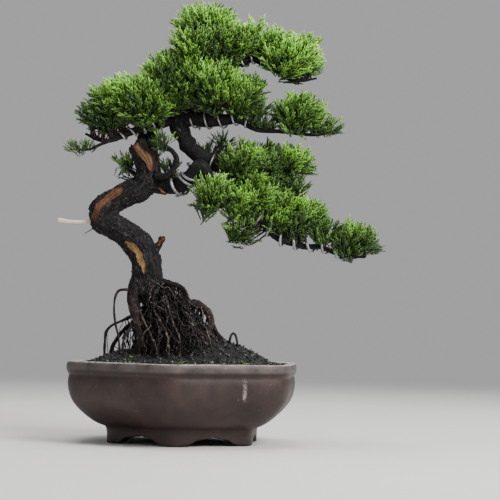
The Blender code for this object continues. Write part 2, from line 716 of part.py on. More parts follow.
def main():
    clear_scene()
    clay = material("fired_clay", (0.085, 0.052, 0.046), 0.72)
    earth = material("black_soil", (0.018, 0.020, 0.018), 0.95)
    plastic = material("screen_plastic", (0.02, 0.02, 0.02), 0.6)
    bark = material("juniper_bark", (0.030, 0.022, 0.020), 0.85)
    dead_wood = material("bleached_wood", (0.62, 0.58, 0.50), 0.6)
    aluminium = material("training_wire", (0.55, 0.55, 0.54), 0.4, 1.0)
    leaves = material("juniper_foliage", (0.06, 0.15, 0.03), 0.6)

    pot = make_pot(clay)
    screen, clip, clip_top = make_drainage(plastic, aluminium)
    soil = make_soil(earth, clip_top)
    trunk = make_trunk(bark)
    pieces = [pot, screen, clip, soil, trunk]

    soil_cutter = grown(soil, SEAT_GAP)
    trunk_cutter = grown(trunk, TRUNK_GAP)
    cut(soil, trunk_cutter)
    keep_largest(soil)
    mat = make_root_mat(bark, [trunk_cutter, soil_cutter])
    mat_cutter = grown(mat, SEAT_GAP)
    pieces.append(mat)
    for name, route in FINE_ROOTS.items():
        pieces.append(make_branch(name, route, [trunk_cutter, soil_cutter, mat_cutter], bark))

    wood = [trunk_cutter]
    for name, route in BRANCHES.items():
        pieces.append(make_branch(name, route, wood, bark))
        wood.append(tube(name + "_wood_cutter", smooth_stations(route, BRANCH_SPACING), 8, grow=SEAT_GAP))
    jin = make_branch("jin_stick", JIN_STICK, [trunk_cutter], dead_wood)
    pieces.append(jin)

    wire_cutters = []
    for name, winding in WIRES.items():
        wire = make_wire(name, winding, aluminium)
        for cutter in wire_cutters:
            if boxes_meet(wire, cutter):
                cut(wire, cutter)
        pieces.append(keep_largest(wire))
        wire_cutters.append(grown(wire, SEAT_GAP))

    wired = {winding[0] for winding in WIRES.values()}
    leaf_cutters = [grown(trunk, LEAF_GAP)]
    for name, route in BRANCHES.items():
        reach = LEAF_GAP + (2 * WIRE_RADIUS + WIRED_LEAF_GAP if name in wired else 0)
        places = smooth_stations(route, BRANCH_SPACING)
        leaf_cutters.append(tube(name + "_leaf_cutter", places, 8, grow=reach))
    for name, (centre, half_sizes) in PADS.items():
        pad = make_pad(name, centre, half_sizes, leaves)
        whole = grown(pad, PAD_GAP)
        for cutter in leaf_cutters:
            if boxes_meet(pad, cutter):
                cut(pad, cutter, solver="MANIFOLD")
        pieces.append(keep_largest(pad))
        leaf_cutters.append(whole)

    discard(soil_cutter, mat_cutter, *wood, *wire_cutters, *leaf_cutters)
    centre_on_footprint(pieces)


def boxes_meet(a, b):
    """Whether the boxes around two objects' points share any space."""
    for axis in range(3):
        a_values = [vert.co[axis] for vert in a.data.vertices]
        b_values = [vert.co[axis] for vert in b.data.vertices]
        if min(a_values) > max(b_values) or min(b_values) > max(a_values):
            return False
    return True


main()
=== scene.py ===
"""Looks of the juniper bonsai: bark, bare wood, foliage, soil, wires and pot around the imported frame."""

import logging
import math
from collections.abc import Iterator, Sequence
from contextlib import contextmanager
from dataclasses import dataclass, field
from enum import Enum

import bmesh
import bpy
import numpy as np
from mathutils import Matrix, Vector, noise
from mathutils.bvhtree import BVHTree


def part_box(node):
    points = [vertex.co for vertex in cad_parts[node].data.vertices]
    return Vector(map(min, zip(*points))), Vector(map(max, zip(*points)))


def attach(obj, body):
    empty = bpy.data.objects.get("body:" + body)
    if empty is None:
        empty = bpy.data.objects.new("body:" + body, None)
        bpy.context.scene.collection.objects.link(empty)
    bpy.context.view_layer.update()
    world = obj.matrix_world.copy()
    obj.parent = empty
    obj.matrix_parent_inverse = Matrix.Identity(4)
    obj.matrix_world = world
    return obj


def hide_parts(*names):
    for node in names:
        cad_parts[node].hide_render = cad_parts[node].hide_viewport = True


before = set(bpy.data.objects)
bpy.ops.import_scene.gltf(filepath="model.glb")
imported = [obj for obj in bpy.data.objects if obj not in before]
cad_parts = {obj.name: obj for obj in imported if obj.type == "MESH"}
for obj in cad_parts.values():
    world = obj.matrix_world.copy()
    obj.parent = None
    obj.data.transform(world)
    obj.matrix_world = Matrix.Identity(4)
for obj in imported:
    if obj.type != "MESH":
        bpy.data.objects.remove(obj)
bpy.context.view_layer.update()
LOG = logging.getLogger("bonsai")
MM = 0.001
MERGE_DISTANCE = 1e-6  # points closer than this, in metres, are the same point
QUAD_ANGLE = math.radians(60)  # two triangles this near to flat and square make one quad

# The CAD's own reference: routes are measured from the middle of the pot's rim
SCREEN_LOW, SCREEN_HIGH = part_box("drain_screen")
POT_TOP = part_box("pot")[1].z
RIM = Vector(((SCREEN_LOW.x + SCREEN_HIGH.x) / 2, (SCREEN_LOW.y + SCREEN_HIGH.y) / 2, POT_TOP))

Route = Sequence[tuple[float, float, float, float]]


class Slot(str, Enum):
    """The record's material slots."""

    CLAY = "fired_clay"
    SOIL = "black_soil"
    PLASTIC = "screen_plastic"
    BARK = "juniper_bark"
    DEAD_WOOD = "bleached_wood"
    WIRE = "training_wire"
    LEAVES = "juniper_foliage"


class Side(Enum):
    """Which way a light stands from the tree, as a direction towards it."""

    FRONT_RIGHT = (0.98, -0.8, 0.85)
    FRONT_LEFT = (-1.0, -0.75, 0.45)
    ABOVE = (-0.12, 0.10, 1.3)
    BEHIND = (0.25, 1.1, 0.7)


# ---------------------------------------------------------------- small helpers


def deselect_all() -> None:
    """Deselects every object, so that an operator acts only on what is selected next."""
    if bpy.context.object and bpy.context.object.mode != "OBJECT":
        bpy.ops.object.mode_set(mode="OBJECT")
    bpy.ops.object.select_all(action="DESELECT")


def activate(piece: bpy.types.Object) -> None:
    """Makes one object the only selected and active one.

    Args:
        piece: The object to work on.
    """
    deselect_all()
    piece.select_set(True)
    bpy.context.view_layer.objects.active = piece


@contextmanager
def editing() -> Iterator[None]:
    """Holds the active object in edit mode with everything selected.

    Yields:
        Nothing, while edit mode lasts.
    """
    bpy.ops.object.mode_set(mode="EDIT")
    bpy.ops.mesh.select_all(action="SELECT")
    yield
    bpy.ops.object.mode_set(mode="OBJECT")


def new_object(name: str, data: bpy.types.ID) -> bpy.types.Object:
    """Makes an object and puts it in the scene.

    Args:
        name: Its name.
        data: Its mesh, curve, light or camera.

    Returns:
        The object.
    """
    made = bpy.data.objects.new(name, data)
    bpy.context.scene.collection.objects.link(made)
    return made


def apply_modifier(piece: bpy.types.Object, kind: str, **settings: object) -> None:
    """Adds a modifier, sets it and applies it.

    Args:
        piece: The object.
        kind: Blender's name for the modifier type.
        **settings: The modifier's properties and their values.
    """
    activate(piece)
    modifier = piece.modifiers.new(kind.lower(), kind)
    for name, value in settings.items():
        setattr(modifier, name, value)
    bpy.ops.object.modifier_apply(modifier=modifier.name)


def subdivide(piece: bpy.types.Object, levels: int) -> None:
    """Rounds a piece with an applied Subdivision Surface.

    Args:
        piece: The object.
        levels: How many times each face is split.
    """
    apply_modifier(piece, "SUBSURF", levels=levels, render_levels=levels)


def rows_of(data: bpy.types.bpy_prop_collection, key: str) -> np.ndarray:
    """Vectors read from a mesh's collection.

    Args:
        data: The vertices, or their normals.
        key: Which vector to read.

    Returns:
        An array of one row for each item.
    """
    found = np.empty(len(data) * 3, np.float32)
    data.foreach_get(key, found)
    return found.reshape(-1, 3)


def points_of(piece: bpy.types.Object) -> np.ndarray:
    """A piece's vertices.

    Args:
        piece: The object.

    Returns:
        An array of one row for each vertex, in metres.
    """
    return rows_of(piece.data.vertices, "co")


def normals_of(piece: bpy.types.Object) -> np.ndarray:
    """A piece's vertex normals.

    Args:
        piece: The object.

    Returns:
        An array of one unit vector for each vertex.
    """
    return rows_of(piece.data.vertex_normals, "vector")


def push_out(piece: bpy.types.Object, lift: np.ndarray) -> None:
    """Moves a piece's surface along its normals.

    Args:
        piece: The object.
        lift: How far each vertex moves out, in metres.
    """
    set_points(piece, points_of(piece) + normals_of(piece) * lift[:, None])


def set_points(piece: bpy.types.Object, points: np.ndarray) -> None:
    """Moves a piece's vertices.

    Args:
        piece: The object.
        points: One row for each vertex, in metres.
    """
    piece.data.vertices.foreach_set("co", np.ascontiguousarray(points, np.float32).ravel())
    piece.data.update()


def set_attributes(piece: bpy.types.Object, **attributes: np.ndarray) -> None:
    """Stores numbers or vectors for each vertex, for a finish to read.

    Args:
        piece: The object.
        **attributes: For each attribute's name, one number or three numbers for each vertex.
    """
    for name, values in attributes.items():
        kind, key = ("FLOAT", "value") if values.ndim == 1 else ("FLOAT_VECTOR", "vector")
        made = piece.data.attributes.new(name, kind, "POINT")
        made.data.foreach_set(key, np.ascontiguousarray(values, np.float32).ravel())


def unit(rows: np.ndarray) -> np.ndarray:
    """Vectors brought to a length of 1.

    Args:
        rows: One vector in each row.

    Returns:
        The same directions.
    """
    return rows / np.linalg.norm(rows, axis=1)[:, None]


def around(values: np.ndarray, middle: float, reach: float) -> np.ndarray:
    """A soft band of numbers.

    Args:
        values: The numbers.
        middle: Where the band is strongest.
        reach: How far from there it ends.

    Returns:
        From 1 in the middle to 0 at the band's ends and beyond.
    """
    return np.clip(1 - np.abs(values - middle) / reach, 0, 1)


def lengths_along(places: np.ndarray) -> np.ndarray:
    """How far along a curve each of its points lies.

    Args:
        places: The points.

    Returns:
        The distance from the first point, in the points' own unit.
    """
    return np.concatenate([[0], np.cumsum(np.linalg.norm(np.diff(places, axis=0), axis=1))])


def read_along(wanted: np.ndarray, lengths: np.ndarray, rows: np.ndarray) -> np.ndarray:
    """Values at other distances along a curve.

    Args:
        wanted: The distances to read at.
        lengths: The distance of each row.
        rows: Three numbers for each point of the curve.

    Returns:
        Three numbers for each distance wanted.
    """
    return np.stack([np.interp(wanted, lengths, rows[:, axis]) for axis in range(3)], axis=1)


def copy_of_node(node: str, name: str) -> bpy.types.Object:
    """A separate copy of a CAD solid with its triangles joined, ready to be refined.

    Args:
        node: The CAD node.
        name: The new piece's name.

    Returns:
        The copy, with no material.
    """
    piece = new_object(name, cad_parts[node].data.copy())
    piece.data.materials.clear()
    activate(piece)
    if piece.data.has_custom_normals:
        bpy.ops.mesh.customdata_custom_splitnormals_clear()
    with editing():
        bpy.ops.mesh.remove_doubles(threshold=MERGE_DISTANCE * 2)
        bpy.ops.mesh.tris_convert_to_quads(face_threshold=QUAD_ANGLE, shape_threshold=QUAD_ANGLE)
    return piece


def finish_piece(
    piece: bpy.types.Object, slot: Slot, finish: bpy.types.Material, *nodes: str, smooth: bool = True
) -> bpy.types.Object:
    """Dresses a finished piece and ties it to the frame.

    Args:
        piece: The object, in place.
        slot: The record's slot that its finish belongs to. Not used.
        finish: Its material.
        *nodes: The CAD nodes that it stands for.
        smooth: Whether its faces are shaded smooth.

    Returns:
        The same object.
    """
    piece.data.materials.clear()
    piece.data.materials.append(finish)
    if smooth:
        piece.data.shade_smooth()
    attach(piece, "root")
    if nodes:
        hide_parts(*nodes)
    stands_for = ", ".join(nodes) or "nothing"
    LOG.info("%s: %d faces, stands for %s", piece.name, len(piece.data.polygons), stands_for)
    return piece


def smooth_noise(points: np.ndarray, size: float, seed: float = 0.0) -> np.ndarray:
    """Soft noise at many places.

    Args:
        points: One row for each place, in metres.
        size: The noise's grain, in metres.
        seed: An offset that picks another pattern.

    Returns:
        One number for each place, mostly between -0.6 and 0.6.
    """
    shift = Vector((seed, seed * 0.7 + 3, 5 - seed))
    return np.array([noise.noise(Vector(point) / size + shift) for point in points.tolist()])


def from_rim(x: float, y: float, z: float) -> Vector:
    """A place given in millimetres from the middle of the pot's rim.

    Args:
        x: Millimetres to the right.
        y: Millimetres away from the front.
        z: Millimetres above the rim.

    Returns:
        The place in metres, in the frame.
    """
    return RIM + Vector((x, y, z)) * MM


def smooth_curve(route: Route, steps: int = 8) -> tuple[np.ndarray, np.ndarray]:
    """Samples a smooth curve through a route.

    Args:
        route: Points of place and radius in millimetres from the rim.
        steps: Samples between two points.

    Returns:
        The samples' places and their radii, in metres.
    """
    knots = np.array([(*from_rim(*point[:3]), point[3] * MM) for point in route])
    padded = np.vstack([knots[0], knots, knots[-1]])
    share = np.linspace(0, 1, steps, endpoint=False)[:, None]
    rows = []
    for a, b, c, d in zip(padded, padded[1:], padded[2:], padded[3:]):
        bend = a * -0.5 + b * 1.5 - c * 1.5 + d * 0.5
        rows.append(b + ((c - a) * 0.5 + (a - b * 2.5 + c * 2 - d * 0.5 + bend * share) * share) * share)
    found = np.vstack([*rows, knots[-1:]])
    return found[:, :3], found[:, 3]


# ---------------------------------------------------------------- material helpers


def linear(code: str) -> tuple[float, float, float, float]:
    """Turns an sRGB hex code into the linear colour that a shader takes.

    Args:
        code: Six hex digits after a #.

    Returns:
        Red, green, blue and an alpha of 1.
    """
    values = [int(code[start : start + 2], 16) / 255 for start in (1, 3, 5)]
    bent = [value / 12.92 if value <= 0.04045 else ((value + 0.055) / 1.055) ** 2.4 for value in values]
    return bent[0], bent[1], bent[2], 1.0


class Sheet:
    """A material's node sheet, with the Principled shader and its output in place."""

    def __init__(self, name: str) -> None:
        """Starts a material.

        Args:
            name: The real material's name.
        """
        self.material = bpy.data.materials.new(name)
        self.material.use_nodes = True
        self.nodes = self.material.node_tree.nodes
        self.links = self.material.node_tree.links
        self.shader = self.nodes["Principled BSDF"]

    def add(self, kind: str, inputs: dict | None = None, **settings: object) -> bpy.types.Node:
        """Adds a node with its settings and what goes into it.

        Args:
            kind: The node's type without the ShaderNode prefix.
            inputs: For each input's name or number, a value, or an output socket to link.
            **settings: The node's own properties.

        Returns:
            The new node.
        """
        node = self.nodes.new("ShaderNode" + kind)
        for name, value in settings.items():
            setattr(node, name, value)
        for key, value in (inputs or {}).items():
            self.feed(node, key, value)
        return node

    def feed(self, node: bpy.types.Node, key: str | int, value: object) -> None:
        """Sets an input, or links an output to it.

        Args:
            node: The node that takes the value.
            key: The input's name or number.
            value: A value, or an output socket.
        """
        if isinstance(value, bpy.types.NodeSocket):
            self.links.new(value, node.inputs[key])
        else:
            node.inputs[key].default_value = value

    def ramp(self, source: bpy.types.NodeSocket, *stops: tuple[float, str]) -> bpy.types.NodeSocket:
        """Turns a number into a colour.

        Args:
            source: The number.
            *stops: Position and hex colour of each stop, in order.

        Returns:
            The colour output.
        """
        node = self.add("ValToRGB", {"Fac": source})
        while len(node.color_ramp.elements) < len(stops):
            node.color_ramp.elements.new(0.5)
        for element, (position, code) in zip(node.color_ramp.elements, stops):
            element.position = position
            element.color = linear(code)
        return node.outputs["Color"]

    def mix(self, share: object, first: object, second: object, blend: str = "MIX") -> bpy.types.NodeSocket:
        """Mixes two colours.

        Args:
            share: How much of the second one, as a value or a socket.
            first: The first colour, as a value or a socket.
            second: The second one.
            blend: Blender's blend type.

        Returns:
            The mixed colour.
        """
        node = self.add("MixRGB", {"Fac": share, "Color1": first, "Color2": second}, blend_type=blend)
        return node.outputs["Color"]

    def place(self) -> bpy.types.NodeSocket:
        """The place on the object.

        Returns:
            Its coordinates in metres.
        """
        return self.add("TexCoord").outputs["Object"]

    def read(self, name: str, output: str = "Fac") -> bpy.types.NodeSocket:
        """Reads a vertex attribute.

        Args:
            name: The attribute's name.
            output: "Fac" for a number or "Vector" for three.

        Returns:
            Its value.
        """
        return self.add("Attribute", attribute_name=name).outputs[output]

    def noise(
        self, place: bpy.types.NodeSocket, size_mm: float, detail: float, roughness: float = 0.5
    ) -> bpy.types.NodeSocket:
        """Soft noise.

        Args:
            place: Where to read it.
            size_mm: Its grain in millimetres.
            detail: How many finer layers it has.
            roughness: How strong those are.

        Returns:
            A number around 0.5.
        """
        inputs = {"Vector": place, "Scale": per_metre(size_mm), "Detail": detail, "Roughness": roughness}
        return self.add("TexNoise", inputs).outputs["Fac"]

    def scaled(self, place: bpy.types.NodeSocket, across: float, along: float) -> bpy.types.NodeSocket:
        """Stretches a pattern.

        Args:
            place: The coordinates.
            across: The scale of the first two.
            along: The scale of the third. Under 1 draws the pattern out.

        Returns:
            The scaled coordinates.
        """
        return self.add("Mapping", {"Vector": place, "Scale": (across, across, along)}).outputs["Vector"]

    def spread(
        self, value: object, low: float = 0.0, high: float = 1.0, to_low: float = 0.0, to_high: float = 1.0
    ) -> bpy.types.NodeSocket:
        """Brings a number from one range to another, and keeps it there.

        Args:
            value: The number.
            low: The first range's start.
            high: Its end.
            to_low: The second range's start.
            to_high: Its end.

        Returns:
            The new number.
        """
        return self.add("MapRange", {0: value, 1: low, 2: high, 3: to_low, 4: to_high}).outputs[0]

    def maths(self, operation: str, *values: object) -> bpy.types.NodeSocket:
        """Works out one step with numbers.

        Args:
            operation: Blender's name for it.
            *values: The numbers, as values or sockets.

        Returns:
            The result.
        """
        return self.add("Math", dict(enumerate(values)), operation=operation).outputs[0]

    def surface(self, inputs: dict[str, object]) -> None:
        """Sets the Principled shader.

        Args:
            inputs: A value or a socket for each input's name.
        """
        for key, value in inputs.items():
            self.feed(self.shader, key, value)

    def bump(self, height: bpy.types.NodeSocket, depth_mm: float, strength: float = 1.0) -> None:
        """Roughens the surface by a height.

        Args:
            height: A number from 0 to 1.
            depth_mm: What 1 stands for, in millimetres.
            strength: The bump's strength.
        """
        node = self.add("Bump", {"Height": height, "Distance": depth_mm * MM, "Strength": strength})
        self.links.new(node.outputs["Normal"], self.shader.inputs["Normal"])


def per_metre(size_mm: float) -> float:
    """A texture's scale for a grain of a given size.

    Args:
        size_mm: One pattern's size in millimetres.

    Returns:
        How many patterns a metre holds.
    """
    return 1 / (size_mm * MM)


# ---------------------------------------------------------------- routes of the wood, in mm from the rim

TRUNK_ROUTE = [
    (-44, 1, 76, 17), (-44, 0, 100, 17.5), (-47, 0, 116, 16.5), (-53, -1, 129, 16.5),
    (-64, -3, 140, 15.5), (-77, -5, 148, 14.5), (-90, -6, 153, 14), (-97, -5, 161, 14.5),
    (-93, -3, 172, 16), (-82, 0, 181, 14.5), (-69, 2, 188, 14), (-56, 4, 194, 14.5),
    (-47, 6, 204, 15.5), (-45, 6, 216, 14), (-48, 4, 228, 13.5), (-55, 2, 239, 12.5), (-61, 1, 247, 10),
]
LIVE_LINE = [
    (-46, 9, 209, 12.5), (-46, 20, 228, 12), (-50, 30, 250, 11.5), (-47, 32, 269, 11),
    (-36, 27, 280, 11), (-22, 18, 280, 11), (-11, 11, 277, 10),
]
DIAGONAL_BASE = [(-15, 13, 275, 11.5), (-11, 10, 264, 10.5), (-6, 8, 255, 9.5)]
SNAG = [(-38, 0, 122, 6), (-31, -3, 131, 4.5), (-26, -4, 139, 3.2), (-25, -4, 143, 2)]
SPLIT_STUB = [(-42, 2, 197, 6), (-33, -4, 194, 5), (-26, -6, 190, 3.5), (-22, -7, 188, 2.5)]
THICK_ROOTS = [
    [
        (-50, -2, 99, 11), (-58, -8, 79, 8), (-58, -11, 63, 6.8), (-53, -13, 46, 6.6),
        (-48, -15, 29, 6.8), (-46, -17, 12, 7.5), (-46, -18, -6, 7),
    ],
    [
        (-38, -1, 92, 6.5), (-20, -6, 88, 4.2), (-6, -7, 84, 3.7), (1, -6, 76, 3.6),
        (2, -4, 62, 3.6), (-1, -2, 47, 3.4), (-6, 2, 29, 3), (-8, 2, 4, 3),
    ],
    [
        (-2, 2, 62, 4.5), (9, 4, 66, 5.6), (20, 3, 61, 5.6), (28, 1, 52, 5.2),
        (29, -3, 41, 4.6), (24, -7, 25, 4), (22, -10, 2, 3.6),
    ],
    [(-42, 8, 94, 9), (-36, 22, 74, 6.5), (-32, 32, 51, 5.5), (-28, 38, 23, 5), (-25, 42, -6, 4.5)],
    [(-41, 3, 84, 14), (-37, 5, 68, 12), (-34, 6, 54, 7)],
]

FINE_ROOTS = {
    "root_arc_left": [
        (-52, -9, 77, 1.6), (-58, -10, 79, 1.6), (-73, -13, 79, 1.3), (-78, -14, 71, 1.3),
        (-79, -15, 57, 1.2), (-77, -16, 41, 1.2), (-73, -17, 25, 1.1), (-71, -18, 0, 1.1),
    ],
    "root_outer_left": [
        (-52, -8, 53, 1.9), (-58, -6, 51, 1.9), (-73, -3, 44, 1.7), (-83, -2, 39, 1.7), (-89, -3, 31, 1.6),
        (-90, -4, 16, 1.5), (-90, -5, -4, 1.4),
    ],
    "root_thick_left": [
        (-50, -5, 50, 2.5), (-56, -2, 46, 2.5), (-68, 5, 36, 2.4), (-76, 9, 27, 2.1), (-83, 12, 15, 2),
        (-88, 14, -4, 1.8),
    ],
    "root_drop_left": [
        (-54, -13, 45, 1.4), (-57, -14, 41, 1.4), (-65, -21, 29, 1.3), (-67, -25, 17, 1.2),
        (-65, -28, -3, 1.1),
    ],
    "root_front_left": [
        (-54, -12, 61, 1.3), (-51, -15, 57, 1.3), (-43, -23, 42, 1.2), (-36, -28, 30, 1.2),
        (-29, -34, 14, 1.2), (-25, -40, -4, 1.1),
    ],
    "root_front_pale": [
        (-42, -5, 84, 1.6), (-38, -10, 76, 1.6), (-34, -21, 60, 1.4), (-27, -27, 47, 1.3),
        (-19, -32, 34, 1.2), (-15, -38, 18, 1.2), (-14, -44, -4, 1.1),
    ],
    "root_front_centre": [
        (-28, -1, 86, 1.7), (-24, -6, 80, 1.7), (-18, -20, 62, 1.5), (-12, -27, 44, 1.4), (-4, -33, 28, 1.3),
        (-2, -40, 8, 1.2), (-1, -44, -4, 1.1),
    ],
    "root_creeping": [
        (27, 1, 50, 3), (29, 4, 45, 3), (37, 5, 31, 2.6), (47, 4, 22, 2.5), (59, 3, 16, 2.3),
        (73, 0, 10, 1.8), (88, -2, 0, 1.5),
    ],
}

BRANCHES = {
    "cascade_branch": [
        (-44, 6, 201, 9), (-32, 4, 198, 9), (-20, 0, 198, 9), (-6, -6, 200, 9), (4, -11, 207, 8.5),
        (11, -15, 217, 8), (18, -16, 218, 7.5), (23, -12, 208, 7), (30, -6, 196, 6.5), (43, -3, 186, 6),
        (60, -6, 178, 5.5), (77, -8, 170, 5.2), (88, -6, 156, 4.6), (101, -2, 142, 4), (118, 2, 136, 3.5),
        (134, 4, 132, 3.2), (151, 4, 132, 2.8), (169, 2, 125, 2.4), (187, 0, 122, 1.9), (202, -2, 121, 1.3),
    ],
    "cascade_side_branch": [
        (40, 0, 187, 4), (52, 8, 189, 3.4), (68, 14, 184, 3), (85, 15, 179, 2.5), (100, 12, 173, 2.3),
        (117, 8, 171, 1.9), (134, 5, 178, 1.4),
    ],
    "diagonal_branch": [
        (-8, 9, 258, 9.5), (1, 9, 243, 9), (14, 9, 233, 8.3), (27, 8, 225, 7), (38, 5, 219, 5.5),
        (49, 2, 215, 4.5), (65, 0, 215, 3.6), (87, 5, 222, 2.8), (113, 9, 226, 1.8),
    ],
    "right_branch": [
        (-14, 11, 277, 9), (-3, 8, 276, 8.5), (10, 5, 275, 8), (25, 3, 274, 8), (38, 1, 274, 7.3),
        (49, -1, 275, 5.5), (59, -3, 273, 3.8), (69, -4, 266, 2.8), (83, -5, 262, 2.5), (109, -6, 261, 2.3),
        (133, -6, 258, 1.9), (149, -8, 258, 1.5), (163, -8, 262, 1.1),
    ],
    "left_branch": [
        (-22, 12, 274, 6.5), (-34, 3, 269, 5.5), (-46, -4, 265, 5), (-57, -9, 261, 4.5), (-75, -12, 253, 3.5),
        (-90, -14, 247, 2.6), (-103, -13, 249, 2), (-116, -11, 255, 1.4),
    ],
    "left_low_twig": [
        (-88, -14, 247, 1.8), (-99, -17, 242, 1.6), (-110, -16, 237, 1.4), (-123, -13, 236, 1.1),
    ],
    "leader": [
        (-13, 12, 279, 9.5), (-4, 12, 290, 8.5), (4, 12, 300, 8), (12, 9, 318, 7), (20, 7, 336, 6),
        (21, 8, 355, 4.5), (17, 9, 373, 3), (15, 8, 392, 1.8),
    ],
    "crown_branch": [
        (20, 7, 334, 4.8), (34, 4, 340, 5), (46, 2, 340, 5.4), (59, 1, 340, 5), (70, -1, 344, 4),
        (82, -2, 339, 3), (95, -4, 332, 2.5), (111, -5, 322, 2.3), (126, -6, 319, 1.8), (144, -6, 322, 1.2),
    ],
    "upper_left_branch": [
        (2, 10, 296, 4.5), (-10, -3, 290, 3.8), (-25, -12, 284, 3), (-43, -18, 278, 2.5), (-65, -20, 280, 2),
        (-90, -17, 286, 1.4),
    ],
    "inner_right_branch": [
        (6, 11, 300, 4), (16, 2, 296, 3.6), (29, -6, 292, 3.2), (44, -11, 291, 2.8), (61, -13, 297, 2),
        (76, -12, 303, 1.4),
    ],
    "back_branch": [
        (2, 14, 296, 5), (-6, 29, 302, 4.5), (-20, 42, 308, 4), (-42, 50, 312, 3), (-64, 54, 315, 1.8),
    ],
    "fork_twig": [
        (-36, -6, 209, 4), (-25, -11, 208, 3.5), (-16, -14, 215, 3.4), (-12, -14, 226, 3),
        (-17, -12, 236, 2.6), (-27, -10, 243, 2),
    ],
}

# Growth too small for the CAD: a loop of root on the right and a spur on the trunk
EXTRA_ROOTS = {
    "loop_root": [
        (50, -4, 20, 1.5), (52, -6, 29, 1.4), (55, -7, 33, 1.3), (58, -6, 29, 1.3), (60, -5, 17, 1.2),
        (60, -5, 5, 1.1),
    ],
    "trunk_spur": [(-100, -8, 151, 0.9), (-107, -9, 147, 0.6), (-115, -10, 142, 0.35)],
}
JIN_STICK = [
    (-98, -5, 158, 3), (-105, -6, 157, 3), (-120, -8, 155, 2.6), (-133, -10, 155, 2.5), (-145, -12, 157, 2.4),
]

# Each wire: its branch, start, end and length of a turn in mm along it, starting angle, radius in mm
WIRES = {
    "arch_wire": ("cascade_branch", 32, 59, 20, 60, 1.6),
    "arch_wire_double": ("cascade_branch", 33, 67, 20, 172, 1.6),
    "cascade_wire": ("cascade_branch", 131, 275, 17, 100, 1.6),
    "cascade_side_wire": ("cascade_side_branch", 24, 74, 14, 0, 1.1),
    "diagonal_wire": ("diagonal_branch", 40, 84, 13, 200, 1.1),
    "right_wire": ("right_branch", 18, 84, 16, 90, 1.1),
    "left_wire": ("left_branch", 18, 70, 12, 20, 1.1),
    "crown_wire": ("crown_branch", 16, 66, 12, 60, 1.1),
}

# Strips of bare wood on the trunk's front: how dry they are, then points across and up, and half-width,
# in mm from the rim
BARE_STRIPS = [
    (0.15, [
        (-72, 193, 2.6), (-79, 190, 4.8), (-87, 184, 5.0), (-97, 173, 4.4), (-102, 163, 3.8),
        (-104, 154, 2.0),
    ]),
    (0.85, [(-67, 133, 1.6), (-59, 128, 3.4), (-52, 119, 3.8), (-48, 108, 3.4), (-46, 99, 1.4)]),
    (0.3, [(-62, 247, 3.0), (-54, 236, 5.0), (-45, 229, 4.8), (-41, 216, 2.4)]),
    (0.3, [(-33, 199, 2.0), (-27, 193, 3.2), (-21, 188, 3.4)]),
    (-0.1, [(-31, 131, 1.6), (-26, 138, 2.6), (-25, 144, 3.0)]),
]

# Knobs on the trunk: place, reach and lift in mm
KNOBS = [
    (-80, -10, 193, 4.5, 3.2), (-101, -12, 184, 4.0, 2.6),
    (-60, -14, 187, 6.0, 2.0), (-50, -16, 200, 5.0, 2.2),
]


def resampled(route: Route, spacing: float) -> tuple[np.ndarray, np.ndarray]:
    """Samples a route's smooth curve at even distances.

    Args:
        route: Points of place and radius, in millimetres from the rim.
        spacing: The distance between samples, in metres.

    Returns:
        The samples' places and their radii, in metres.
    """
    places, radii = smooth_curve(route, 24)
    lengths = lengths_along(places)
    wanted = np.linspace(0, lengths[-1], max(3, round(lengths[-1] / spacing)))
    return read_along(wanted, lengths, places), np.interp(wanted, lengths, radii)


def carried_sides(places: np.ndarray) -> tuple[np.ndarray, np.ndarray, np.ndarray]:
    """Directions along a curve, with two more at right angles that don't twist round it.

    Args:
        places: Points along the curve.

    Returns:
        The directions ahead, to one side and to the other side, at each point.
    """
    ahead = unit(np.gradient(places, axis=0))
    side = np.array([0.0, 0.0, 1.0]) if abs(ahead[0][2]) < 0.9 else np.array([0.0, 1.0, 0.0])
    sides = []
    for direction in ahead:
        side = side - direction * side.dot(direction)
        side /= np.linalg.norm(side)
        sides.append(side)
    sides = np.array(sides)
    return ahead, sides, np.cross(ahead, sides)


class Grain:
    """Straightened coordinates round the routes of some wood, so that its bark runs along it."""

    SPACING = 1.5 * MM
    CHUNK = 4000  # places read in one go, to save memory
    ROUTE_GAP = 0.05  # between two routes' lengths, so that their patterns differ

    def __init__(self, routes: Sequence[Route]) -> None:
        """Samples every route.

        Args:
            routes: The wood's routes, in millimetres from the rim.
        """
        rows = [[], [], [], [], []]
        start = 0.0
        for route in routes:
            places, radii = resampled(route, self.SPACING)
            _, sides, thirds = carried_sides(places)
            lengths = start + np.arange(len(places)) * self.SPACING
            start = lengths[-1] + self.ROUTE_GAP
            for row, values in zip(rows, (places, radii, sides, thirds, lengths)):
                row.append(values)
        self.places, self.radii, self.sides, self.thirds, self.lengths = (np.concatenate(row) for row in rows)

    def read(self, points: np.ndarray) -> tuple[np.ndarray, np.ndarray]:
        """Straightened coordinates of some points.

        Args:
            points: One row for each place, in metres.

        Returns:
            Across, away and along in metres for each place, and the wood's radius there.
        """
        nearest = []
        for start in range(0, len(points), self.CHUNK):
            apart = np.linalg.norm(points[start : start + self.CHUNK, None] - self.places[None], axis=2)
            nearest.append(np.argmin(apart - self.radii * 0.9, axis=1))
        nearest = np.concatenate(nearest)
        offset = points - self.places[nearest]
        across = np.einsum("ij,ij->i", offset, self.sides[nearest])
        away = np.einsum("ij,ij->i", offset, self.thirds[nearest])
        return np.stack([across, away, self.lengths[nearest]], axis=1), self.radii[nearest]


